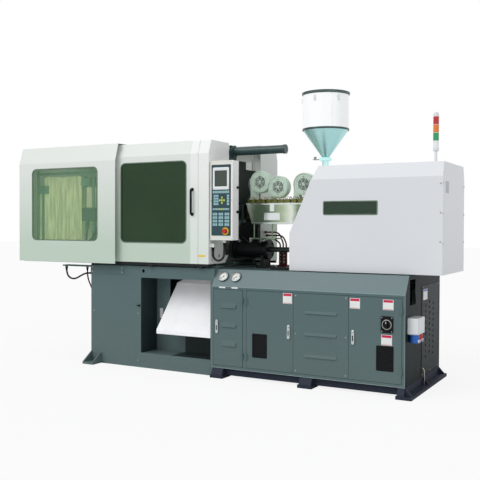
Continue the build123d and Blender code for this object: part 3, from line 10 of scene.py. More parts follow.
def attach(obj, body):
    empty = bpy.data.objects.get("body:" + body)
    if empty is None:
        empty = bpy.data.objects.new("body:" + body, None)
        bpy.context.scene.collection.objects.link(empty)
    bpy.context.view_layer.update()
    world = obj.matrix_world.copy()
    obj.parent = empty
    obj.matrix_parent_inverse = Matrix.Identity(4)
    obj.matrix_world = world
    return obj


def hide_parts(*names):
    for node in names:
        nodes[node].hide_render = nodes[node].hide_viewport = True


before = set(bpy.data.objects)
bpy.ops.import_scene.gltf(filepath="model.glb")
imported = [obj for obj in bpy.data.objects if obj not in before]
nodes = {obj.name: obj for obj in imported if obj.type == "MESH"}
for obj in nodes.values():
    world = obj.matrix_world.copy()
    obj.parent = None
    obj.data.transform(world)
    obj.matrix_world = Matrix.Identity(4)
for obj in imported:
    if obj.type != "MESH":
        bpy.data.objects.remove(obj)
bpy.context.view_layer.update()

bl_info = {
    "name": "Injection moulding machine",
    "version": (1, 0, 0),
    "blender": (4, 5, 0),
    "location": "View3D > Sidebar > Moulding machine",
    "description": "Gives the machine's CAD frame its finishes, fittings, cords and studio",
    "category": "Add Mesh",
}

MILLIMETRE = 0.001
LOOK = "look_"


def tint(name, description, red, green, blue):
    """A colour property whose default is given as it looks on a screen, from 0 to 255."""
    return FloatVectorProperty(name=name, description=description, subtype="COLOR_GAMMA", min=0, max=1,
                               default=(red / 255, green / 255, blue / 255))


def length(name, description, value):
    """A length property in millimetres."""
    return FloatProperty(name=name, description=description, default=value, min=0, precision=2)


def linear(colour, share=1.0):
    """The colour as a shader takes it, darkened or lightened by a share."""
    channels = [c / 12.92 if c <= 0.04045 else ((c + 0.055) / 1.055) ** 2.4 for c in colour]
    return (*[min(1.0, channel * share) for channel in channels], 1.0)


class MachineColours(bpy.types.PropertyGroup):
    """Colours of the machine's paints, plastics and panes."""

    guard: tint("Clamp guards", "Powder coat of the clamp cover, gates and fixed cover", 226, 231, 227)
    # A painted reflection: the greenish tone that the clamp guards mirror low down
    guard_painted_reflection: tint("Guard reflections", "Greenish tone low on the clamp guards", 184, 204, 187)
    cover: tint("Barrel cover", "Powder coat of the barrel cover", 222, 225, 229)
    base: tint("Base", "Slate grey paint of the base and the cabinet", 91, 111, 113)
    fascia: tint("Fascia", "Lighter grey of the sloped front sheet", 100, 121, 124)
    plinth: tint("Plinth", "Dark blue-grey of the feet and the plinth", 28, 38, 56)
    chute: tint("Chute", "White sheet of the product chute", 240, 241, 243)
    control: tint("Control box", "Off-white of the operator's control box", 226, 228, 220)
    keypad: tint("Keypad", "Teal film of the keypad", 20, 62, 70)
    key: tint("Keys", "Pale printing of most keys", 150, 190, 196)
    key_lime: tint("Arrow keys", "Yellow-green of the cross of keys", 190, 205, 90)
    screen: tint("Screen", "Liquid crystal of the control screen", 48, 62, 50)
    stop: tint("Stop button", "Red of the stop button", 196, 24, 26)
    band: tint("Plate bands", "Crimson of the bands on the bare plates", 206, 22, 74)
    stop_ring: tint("Stop ring", "Yellow ring behind the stop button", 238, 205, 20)
    clamp_pane: tint("Clamp window", "Tint of the clamp cover's pane", 112, 156, 118)
    # The gate's pane is its green tint, darkened as painted shade of the inside behind it
    gate_pane: tint("Gate window", "Tint of the gate's pane", 24, 58, 24)
    slot_pane: tint("Barrel window", "Tint of the barrel cover's pane", 40, 64, 46)
    platen: tint("Platens", "Dark paint of the platens", 44, 54, 50)
    casting: tint("Castings", "Pale paint of the clamp cylinder and the housing", 216, 222, 188)
    curtain: tint("Inner sheet", "Cream of the ribbed sheet behind the clamp window", 226, 232, 184)
    tube: tint("Safety tube", "Dark teal of the safety tube", 44, 70, 70)
    blower: tint("Blowers", "Pale grey-green of the blowers", 206, 226, 210)
    wheel: tint("Blower wheels", "Darker grey-green of the wheels inside the blowers", 112, 134, 124)
    terminal: tint("Terminals", "Olive brass of the heater terminals", 118, 120, 66)
    manifold: tint("Water manifold", "Dark red of the water manifold", 108, 20, 26)
    socket: tint("Socket box", "White of the socket box", 232, 236, 238)
    blue: tint("Blue lid", "Blue of the first socket's lid", 38, 100, 190)
    red: tint("Red lid", "Red of the second socket's lid", 190, 24, 40)
    black: tint("Black fittings", "Black of rubber, rails and plastic", 20, 23, 25)
    seal: tint("Window seals", "Grey-green of the seals round the windows", 108, 128, 112)
    plate: tint("Plates", "White of the bare plates", 234, 236, 234)


class MachineSizes(bpy.types.PropertyGroup):
    """Sizes of the small fittings, in millimetres."""

    seal_width: length("Seal width", "Rubber seal round each window, across its face", 6)
    seal_height: length("Seal height", "How far a window's seal stands out of its sheet", 3.2)
    panel_screw: length("Panel screw", "Radius of the screws that hold panels", 6)
    frame_bolt: length("Frame bolt", "Radius of the bolts that hold castings", 14)
    plate_height: length("Plate height", "How far a bare plate stands out", 0.8)


class StageSettings(bpy.types.PropertyGroup):
    """Light and floor of the plain studio."""

    world: FloatProperty(name="World", description="Strength of the even light from all sides",
                         default=0.56, min=0)
    key: FloatProperty(name="Key light", description="Strength of the soft light from the front left",
                       default=1.12, min=0)
    fill: FloatProperty(name="Fill light", description="Strength of the weaker light from the right",
                        default=0.26, min=0)
    floor: tint("Floor", "Colour of the pale floor", 244, 245, 246)


# Shaders
class Value:
    """A socket that takes part in sums with other sockets and with numbers."""

    def __init__(self, finish, socket):
        self.finish = finish
        self.socket = socket

    def __add__(self, other):
        return self.finish.sum("ADD", self, other)

    def __radd__(self, other):
        return self.finish.sum("ADD", other, self)

    def __sub__(self, other):
        return self.finish.sum("SUBTRACT", self, other)

    def __rsub__(self, other):
        return self.finish.sum("SUBTRACT", other, self)

    def __mul__(self, other):
        return self.finish.sum("MULTIPLY", self, other)

    def __rmul__(self, other):
        return self.finish.sum("MULTIPLY", other, self)

    def __truediv__(self, other):
        return self.finish.sum("DIVIDE", self, other)


class Finish:
    """One material or world, whose nodes all come from its node method."""

    def __init__(self, name, kind=None):
        self.material = (bpy.data.materials if kind is None else kind).new(LOOK + name)
        self.material.use_nodes = True
        self.tree = self.material.node_tree
        self.tree.nodes.clear()

    def node(self, kind, settings, inputs, output=0):
        """Add a node: its settings first, then the values or links of its sockets."""
        made = self.tree.nodes.new("ShaderNode" + kind)
        for name, value in settings.items():
            if name == "stops":
                elements = made.color_ramp.elements
                while len(elements) < len(value):
                    elements.new(1)
                for element, (place, colour) in zip(elements, value):
                    element.position = place
                    element.color = colour
            elif name == "steps":
                made.color_ramp.interpolation = value
            else:
                setattr(made, name, value)
        for name, value in inputs.items():
            if isinstance(value, Value):
                self.tree.links.new(value.socket, made.inputs[name])
            else:
                made.inputs[name].default_value = value
        return Value(self, made.outputs[output]) if len(made.outputs) else None

    def sum(self, operation, first, second):
        """A Math node on two values."""
        return self.node("Math", {"operation": operation}, {0: first, 1: second})

    def clamp(self, value):
        """The value held between 0 and 1."""
        return self.node("Clamp", {}, {"Value": value})

    def above(self, value, edge, gain):
        """0 up to an edge, then rising to 1."""
        return self.clamp((value - edge) * gain)

    def uneven(self, middle, *parts):
        """A number that wavers with each mask by its share, held between 0 and 1."""
        for mask, share in parts:
            middle = middle + (mask - 0.5) * share
        return self.clamp(middle)

    def place(self, stretch=(1, 1, 1)):
        """The point on the part in metres, stretched along each axis."""
        point = self.node("TexCoord", {}, {}, "Object")
        return self.node("VectorMath", {"operation": "MULTIPLY"}, {0: point, 1: stretch})

    def along(self, axis):
        """One coordinate of the point on the part, in metres."""
        return self.node("SeparateXYZ", {}, {0: self.place()}, axis)

    def noise(self, scale, detail=2.0, stretch=(1, 1, 1)):
        """Soft noise from 0 to 1, with scale counted per metre."""
        return self.node("TexNoise", {}, {"Vector": self.place(stretch), "Scale": scale, "Detail": detail})

    def blend(self, factor, first, second):
        """One colour that turns into another."""
        return self.node("Mix", {"data_type": "RGBA"}, {0: factor, 6: first, 7: second}, 2)

    def step(self, value, edge, softness):
        """0 below the edge and 1 above it, with a soft change."""
        return self.node("MapRange", {"interpolation_type": "SMOOTHSTEP"},
                         {"Value": value, "From Min": edge - softness, "From Max": edge + softness})

    def within(self, low, high):
        """1 inside a box of the part and 0 outside it."""
        inside = 1.0
        for axis, start, end in zip("XYZ", low, high):
            place = self.along(axis)
            inside = self.step(place, start, 0.0004) * (1 - self.step(place, end, 0.0004)) * inside
        return inside

    def edges(self, radius):
        """A mask that is high close to the shape's edges."""
        rounded = self.node("Bevel", {"samples": 4}, {"Radius": radius})
        flat = self.node("NewGeometry", {}, {}, "Normal")
        return 1 - self.node("VectorMath", {"operation": "DOT_PRODUCT"}, {0: rounded, 1: flat}, "Value")

    def bump(self, height, strength, distance):
        """A normal bent by a height from 0 to 1."""
        return self.node("Bump", {}, {"Height": height, "Strength": strength, "Distance": distance})

    def shine(self, constants, **inputs):
        """The closing shader: constants on its own sockets, then what changes over the surface."""
        links = {name.replace("_", " "): value for name, value in inputs.items()}
        shader = self.node("BsdfPrincipled", {}, {**constants, **links})
        self.node("OutputMaterial", {}, {"Surface": shader})
        return self.material


def powder_coat(name, colour, roughness=0.34, wear=0.25, sheen=0.45, dust=0.0, painted_shade_and_light=(), low=None):
    """Powder-coated sheet: fine orange peel, slight clouds, dust near the floor, edges paler from wear and a
    painted highlight, boxes of painted shade and painted light, and a painted reflection low down.
    """
    finish = Finish(name)
    cloud = finish.noise(1.7, 3)
    grain = finish.noise(34, 4)
    coat = finish.blend(cloud, linear(colour, 0.95), linear(colour, 1.04))
    height = finish.along("Z")
    if low:
        # The painted reflection, a greenish tone low on the guards, is full up to 1.09 m above the floor and
        # gone at 1.75 m
        reflection_fade = finish.clamp(1.25 - (height - 0.92) * 1.5 + (cloud - 0.5) * 0.5)
        coat = finish.blend(reflection_fade * 0.8, coat, linear(low))
    # Dust lies below 0.75 m, thicker towards the floor
    settled = finish.clamp((0.75 - height) * dust) * grain
    coat = finish.blend(settled, coat, linear((0.55, 0.53, 0.48)))
    # Edges turn paler: partly wear, partly a painted highlight along edges and bends
    rubbed_and_highlit = finish.step(finish.edges(0.004) * (0.4 + grain), 0.14, 0.06) * wear
    coat = finish.blend(rubbed_and_highlit, coat, linear(colour, 1.5))
    # Painted shade darkens the paint in each box, or painted light makes it paler towards white where the
    # share is below zero
    for low_corner, high_corner, share in painted_shade_and_light:
        coat = finish.blend(finish.within(low_corner, high_corner) * abs(share), coat,
                            linear(colour, 0.06) if share > 0 else (1, 1, 1, 1))
    peel = finish.noise(520, 1)
    return finish.shine({"Specular IOR Level": sheen}, Base_Color=coat,
                        Roughness=finish.clamp(roughness + (grain - 0.5) * 0.16 + settled * 0.4),
                        Normal=finish.bump(peel, 0.09, 0.0006))


def cast_paint(name, colour, roughness=0.45):
    """Thick paint on a casting, over a pebbled skin."""
    finish = Finish(name)
    pebbles = finish.noise(85, 3)
    cloud = finish.noise(5, 3)
    streak = finish.noise(9, 3, (6, 1, 0.35))
    coat = finish.blend(cloud, linear(colour, 0.82), linear(colour, 1.06))
    coat = finish.blend(finish.above(streak, 0.48, 2.2), coat, linear(colour, 0.66))
    worn = finish.step(finish.edges(0.006) * (0.3 + pebbles), 0.16, 0.06)
    coat = finish.blend(worn * 0.4, coat, linear((0.45, 0.45, 0.43)))
    return finish.shine({}, Base_Color=coat,
                        Roughness=finish.uneven(roughness, (pebbles, 0.3)),
                        Normal=finish.bump(pebbles, 0.25, 0.002))


def brushed_metal(name, colour, roughness, stretch, marks=0.35):
    """Bare metal with fine lines left by brushing or turning."""
    finish = Finish(name)
    lines = finish.noise(60, 3, stretch)
    blot = finish.noise(7, 4)
    tone = finish.blend(lines, linear(colour, 1 - marks), linear(colour, 1.08))
    tone = finish.blend(finish.above(blot, 0.55, 2) * marks, tone, linear(colour, 0.55))
    return finish.shine({"Metallic": 1.0}, Base_Color=tone,
                        Roughness=finish.uneven(roughness, (lines, 0.22), (blot, 0.2)),
                        Normal=finish.bump(lines, 0.07, 0.0005))


def moulded_plastic(name, colour, roughness=0.45, grain=240.0, painted_glow=0.0, sheen=0.5):
    """Moulded plastic with a fine texture, a few scuffs and a painted glow where one is given."""
    finish = Finish(name)
    skin = finish.noise(grain, 2)
    scuff = finish.noise(11, 4)
    tone = finish.blend(scuff, linear(colour, 0.88), linear(colour, 1.06))
    # The emission is a painted glow that lightens the plastic, which is no lamp
    constants = {"Emission Strength": painted_glow, "Specular IOR Level": sheen}
    return finish.shine(constants, Base_Color=tone, Emission_Color=tone,
                        Roughness=finish.uneven(roughness, (skin, 0.2), (scuff, 0.12)),
                        Normal=finish.bump(skin, 0.12, 0.0006))


def cloth_sheet(name, colour):
    """A pleated plastic sheet with a painted highlight on its crests, painted shade in its creases and a
    painted glow for light through it from behind.
    """
    finish = Finish(name)
    crests = finish.noise(26, 3, (2.2, 0.2, 0.16))
    crease = finish.noise(9, 3, (1, 1, 0.7))
    # Painted highlight on the crests
    tone = finish.blend(finish.above(crests, 0.42, 3.4), linear(colour, 0.7), linear(colour, 1.12))
    # Painted shade in the creases
    tone = finish.blend(finish.above(crease, 0.58, 3), tone, linear(colour, 0.6))
    # The emission is a painted glow that stands for light through the sheet
    return finish.shine({"Emission Strength": 0.34}, Base_Color=tone, Emission_Color=tone,
                        Roughness=finish.clamp(0.4 + crease * 0.2),
                        Normal=finish.bump(crests, 0.5, 0.004))


def soft_rubber(name, colour):
    """Matt rubber with a dusty bloom."""
    finish = Finish(name)
    bloom = finish.noise(18, 4)
    skin = finish.noise(300, 2)
    tone = finish.blend(finish.above(bloom, 0.45, 1.4), linear(colour), linear((0.2, 0.21, 0.21)))
    return finish.shine({"Specular IOR Level": 0.3}, Base_Color=tone,
                        Roughness=finish.uneven(0.62, (skin, 0.25)),
                        Normal=finish.bump(skin, 0.2, 0.0005))


def tinted_pane(name, colour, cover):
    """A tinted sheet of polycarbonate that lets part of the view through."""
    finish = Finish(name)
    haze = finish.noise(3.0, 4)
    scratch = finish.noise(40, 2, (5, 1, 0.2))
    tone = finish.blend(haze, linear(colour, 0.8), linear(colour, 1.15))
    return finish.shine({"Specular IOR Level": 0.35},
                        Base_Color=tone, Alpha=finish.uneven(cover, (haze, 0.1)),
                        Roughness=finish.clamp(0.05 + (scratch - 0.4) * 0.1))


def banded_lenses(name, foot, pitch):
    """The signal light's stacked lenses, told apart by height, with fine upright ribs."""
    finish = Finish(name)
    # Six bands of one pitch, the first of them below the lowest lens
    share = (finish.along("Z") - (foot - pitch)) / (6 * pitch)
    colours = [(0, (0.78, 0.8, 0.82, 1)), (1 / 6, (0.82, 0.86, 0.86, 1)), (2 / 6, (0.004, 0.33, 0.1, 1)),
               (3 / 6, (0.78, 0.19, 0.01, 1)), (4 / 6, (0.5, 0.003, 0.008, 1)), (5 / 6, (0.7, 0.72, 0.74, 1))]
    tone = finish.node("ValToRGB", {"stops": colours, "steps": "CONSTANT"}, {"Fac": share}, "Color")
    ribs = finish.node("TexWave", {"wave_type": "RINGS"},
                       {"Vector": finish.place((1, 1, 0)), "Scale": 90.0})
    haze = finish.noise(60, 2)
    tone = finish.blend(haze * 0.08, tone, (0.9, 0.9, 0.88, 1))
    return finish.shine({"Emission Strength": 0.04, "Specular IOR Level": 0.3},
                        Base_Color=tone, Emission_Color=tone, Roughness=finish.clamp(0.16 + haze * 0.12),
                        Normal=finish.bump(ribs, 0.3, 0.001))


def hopper_steel(name, fold):
    """Polished steel with painted reflections, a white cylinder and a cooler, duller pale teal cone, and a
    painted glow.
    """
    finish = Finish(name)
    height = finish.along("Z")
    upper = finish.step(height, fold, 0.002)
    turned = finish.noise(26, 3, (1, 1, 7))
    lines = finish.noise(90, 2, (1, 1, 0.05))
    # Painted reflection: white on the cylinder above the fold, a pale teal on the cone below it
    tone = finish.blend(upper, linear((0.74, 0.93, 0.92)), (1, 1, 1, 1))
    tone = finish.blend(turned * 0.25, tone, linear((0.8, 0.88, 0.9)))
    away = finish.node("Math", {"operation": "ABSOLUTE"}, {0: height - fold})
    weld = 1 - finish.step(away, 0.0035, 0.002)
    tone = finish.blend(weld * 0.5, tone, linear((0.3, 0.42, 0.44)))
    # The emission is a painted glow that lightens the steel
    return finish.shine({"Emission Strength": 0.1}, Base_Color=tone, Emission_Color=tone,
                        Metallic=finish.clamp(0.8 - upper * 0.7),
                        Roughness=finish.clamp(0.3 - upper * 0.06 + (lines - 0.5) * 0.16),
                        Normal=finish.bump(lines, 0.04, 0.0005))


def banded_steel(name):
    """Bright sheet steel with painted reflections: the dark castings and pale guards it mirrors, as upright
    bands in its colour.
    """
    finish = Finish(name)
    # How far along the shroud, from 0 to 1
    place = (finish.along("X") - 0.24) / 0.66
    # Colours of the painted reflections, from dark castings to the white of the guards
    dark, dull, pale, white = [linear((r, g, b)) for r, g, b in ((0.3, 0.38, 0.32), (0.5, 0.58, 0.47),
                                                                   (0.72, 0.78, 0.66), (0.95, 0.97, 0.93))]
    stops = [(0, dull), (0.1, white), (0.18, dull), (0.34, dark), (0.44, dull), (0.6, pale), (0.72, white),
             (0.8, dull), (1, dark)]
    waver = finish.noise(5, 3, (1, 1, 2.5))
    tone = finish.node("ValToRGB", {"stops": stops}, {"Fac": place + (waver - 0.5) * 0.12}, "Color")
    lines = finish.noise(80, 3, (8, 1, 0.12))
    tone = finish.blend(lines * 0.25, tone, dull)
    return finish.shine({}, Base_Color=tone, Metallic=finish.clamp(0.55 + lines * 0.1),
                        Roughness=finish.uneven(0.22, (lines, 0.2)),
                        Normal=finish.bump(lines, 0.05, 0.0005))


def liquid_screen(name, colour):
    """A dark liquid crystal behind a faint grid of dots."""
    finish = Finish(name)
    dots = finish.node("TexChecker", {}, {"Vector": finish.place(), "Scale": 500.0}, "Fac")
    haze = finish.noise(16, 3)
    tone = finish.blend(dots * 0.4, linear(colour, 0.8), linear(colour, 1.1))
    tone = finish.blend(haze * 0.3, tone, linear(colour, 1.7))
    return finish.shine({"Coat Weight": 0.25, "Coat Roughness": 0.05, "Emission Strength": 0.05},
                        Base_Color=tone, Emission_Color=tone, Roughness=finish.clamp(0.14 + haze * 0.12))


def put(name, data):
    """A new object in the scene that shows the given data."""
    made = bpy.data.objects.new(name, data)
    bpy.context.scene.collection.objects.link(made)
    return made


# Mesh making
def facing(origin, out, along):
    """A frame whose Z axis points out of a surface and whose X axis runs along it."""
    out = Vector(out).normalized()
    along = Vector(along).normalized()
    across = out.cross(along)
    frame_rows = Matrix((along, across, out)).transposed().to_4x4()
    return Matrix.Translation(origin) @ frame_rows


def on_front(x, y, z):
    """A frame on a face that looks to the front."""
    return facing((x, y, z), (0, -1, 0), (1, 0, 0))


def on_rear(x, y, z):
    """A frame on a face that looks to the rear."""
    return facing((x, y, z), (0, 1, 0), (-1, 0, 0))


def on_end(x, y, z):
    """A frame on a face that looks to the cabinet's end."""
    return facing((x, y, z), (1, 0, 0), (0, 1, 0))


def on_top(x, y, z):
    """A frame on a face that looks up."""
    return facing((x, y, z), (0, 0, 1), (1, 0, 0))


def spun(place, degrees, out=0, up=0):
    """A frame turned about its Z axis, then moved out along X and up along Z."""
    return place @ Matrix.Rotation(radians(degrees), 4, "Z") @ Matrix.Translation((out, 0, up))


def grid(face, *axes):
    """The frames on a face at every mix of the coordinates given for X, Y and Z."""
    choices = [axis if isinstance(axis, tuple) else (axis,) for axis in axes]
    return [face(*point) for point in product(*choices)]


def circle(radius, height, steps):
    """A ring of points round the Z axis."""
    turns = [2 * pi * (i + 0.5) / steps for i in range(steps)]
    return [(radius * cos(turn), radius * sin(turn), height) for turn in turns]


def rounded(width, depth, corner, height, steps=5):
    """A ring of points on a rectangle with round corners."""
    corner = max(0.05, min(corner, width / 2 - 0.01, depth / 2 - 0.01))
    points = []
    for quarter, (sx, sy) in enumerate(((1, 1), (-1, 1), (-1, -1), (1, -1))):
        for i in range(steps):
            turn = pi / 2 * (quarter + i / (steps - 1))
            points.append((sx * (width / 2 - corner) + corner * cos(turn),
                           sy * (depth / 2 - corner) + corner * sin(turn), height))
    return points


class Shape:
    """A mesh in the making, in millimetres in the part's frame."""

    def __init__(self):
        self.mesh = bmesh.new()

    def skin(self, place, loops, caps=(True, True), ring=False):
        """Join loops of points one after another, then close the ends or the ring."""
        rows = [[self.mesh.verts.new(place @ Vector(point)) for point in loop] for loop in loops]
        pairs = list(zip(rows, rows[1:]))
        if ring:
            pairs.append((rows[-1], rows[0]))
        for row, after in pairs:
            for i, corner in enumerate(row):
                following = (i + 1) % len(row)
                self.mesh.faces.new((corner, row[following], after[following], after[i]))
        if caps[0] and not ring:
            self.mesh.faces.new(rows[0][::-1])
        if caps[1] and not ring:
            self.mesh.faces.new(rows[-1])
        return self

    def turned(self, place, profile, steps=24, caps=(True, True), ring=False):
        """A round form from radius and height pairs."""
        return self.skin(place, [circle(radius, height, steps) for radius, height in profile], caps, ring)

    def hoop(self, place, profile, steps):
        """A closed round band from radius and height pairs."""
        return self.turned(place, profile, steps, ring=True)

    def slab(self, place, width, depth, corner, profile):
        """A rounded rectangle that shrinks by an inset at each height."""
        loops = [rounded(width - 2 * inset, depth - 2 * inset, corner - inset, height)
                 for inset, height in profile]
        return self.skin(place, loops)

    def plate(self, place, width, depth, corner, height):
        """A thin plate with softened edges."""
        soft = min(height * 0.4, 1.5)
        return self.slab(place, width, depth, corner, [(0, 0), (0, height - soft), (soft, height)])

    def border(self, place, width, depth, corner, profile):
        """A closed rounded frame from outset and height pairs."""
        loops = [rounded(width + 2 * outset, depth + 2 * outset, corner + outset, height, 8)
                 for outset, height in profile]
        return self.skin(place, loops, ring=True)

    def rod(self, points, radius, steps=10):
        """A round wire or bar through points."""
        points = [Vector(point) for point in points]
        loops = []
        side = None
        for i, point in enumerate(points):
            run = (points[min(i + 1, len(points) - 1)] - points[max(i - 1, 0)]).normalized()
            side = (side or run.orthogonal()) - run * (side or run.orthogonal()).dot(run)
            side.normalize()
            other = run.cross(side)
            loops.append([point + radius * (cos(2 * pi * k / steps) * side + sin(2 * pi * k / steps) * other)
                          for k in range(steps)])
        return self.skin(Matrix.Identity(4), loops)

    def pan_heads(self, places, radius):
        """Pan-head screws, each with a round washer face and a socket."""
        for place in places:
            self.turned(place, [(radius * 1.25, 0), (radius * 1.25, radius * 0.15), (radius, radius * 0.2),
                                (radius, radius * 0.45), (radius * 0.8, radius * 0.68),
                                (radius * 0.42, radius * 0.72), (radius * 0.38, radius * 0.3)], 12)
        return self

    def bolts(self, places, radius):
        """Hexagon bolts on washers."""
        for place in places:
            self.turned(place, [(radius * 1.3, 0), (radius * 1.3, radius * 0.2),
                                (radius * 1.25, radius * 0.24)], 20)
            self.turned(place, [(radius * 1.08, radius * 0.24), (radius * 1.08, radius * 0.82),
                                (radius * 0.9, radius)], 6)
        return self

    def piece(self, name, finish, body="machine"):
        """Close the mesh as an object that wears a finish and rides on a body."""
        bmesh.ops.recalc_face_normals(self.mesh, faces=self.mesh.faces)
        self.mesh.transform(Matrix.Scale(MILLIMETRE, 4))
        data = bpy.data.meshes.new(name)
        self.mesh.to_mesh(data)
        self.mesh.free()
        data.materials.append(material(finish))
        data.shade_smooth()
        data.set_sharp_from_angle(angle=radians(32))
        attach(put(name, data), body)


def material(name):
    """A finish made by the finishes operator; the frame's own materials have no prefix."""
    return bpy.data.materials[LOOK + name]


# Faces and axes shared by several operators, in millimetres as in the part's source
CONTROL_FACE = -499.0
DOOR_FACE = -499.0
GATE_FACE = -495.0
CLAMP_FACE = -546.0
COVER_FACE = -350.0
COVER_END = 2015
FIXED_COVER_END = 101.0
BASE_FACE = -457
EDGE_LINE = -496.6
CABINET_END = 1790
SOCKET_END = 1862
SHROUD_FACE = -170
PLATEN_END = 95
SWITCH_X, SWITCH_Z = 1651, 541
STOP_X, STOP_Z = 268, 1222
HOPPER_X = 948
SIGNAL_X = 1872
BLOWERS = ((380, 1647), (554, 1600), (792, 1619))
GAUGES = ((223, -446.95, 839.25), (343, -446.95, 839.25))
SLOPE_OUT = (0, -0.8291, 0.5590)


# Boxes of the part, in metres, and the share of painted shade that darkens the paint in them, or of painted
# light that makes it paler where the share is below zero
# Painted light on the end and the front of the fixed cover
GUARD_PAINTED_LIGHT = (((0.0975, -0.6, 0.9), (0.15, 0.6, 2.1), -0.75),
                ((-0.08, -0.4955, 0.9), (0.0965, -0.3, 2.1), -0.4))
# Painted shade inside the base, behind its front face
BASE_PAINTED_SHADE = (((-1.19, -0.4555, 0.02), (-0.61, 1, 0.9), 0.8), ((-0.3, -0.4555, 0.02), (0.13, 1, 0.9), 0.85))
# Painted shade in the recess behind the cabinet's front, round its doors, and on its end
CABINET_PAINTED_SHADE = (((0.139, -0.4965, 0.09), (1.786, 1, 0.75), 0.9), ((1.7865, -1, 0), (2, 1, 1), 0.94))
# Painted shade on the cabinet's end panel
PANEL_PAINTED_SHADE = (((1.7, -0.2, 0), (2, 1, 1), 0.92),)
# Painted light on the control box's side
CONTROL_PAINTED_LIGHT = (((0.3235, -0.6, 1), (0.4, 0, 2), -1.0),)


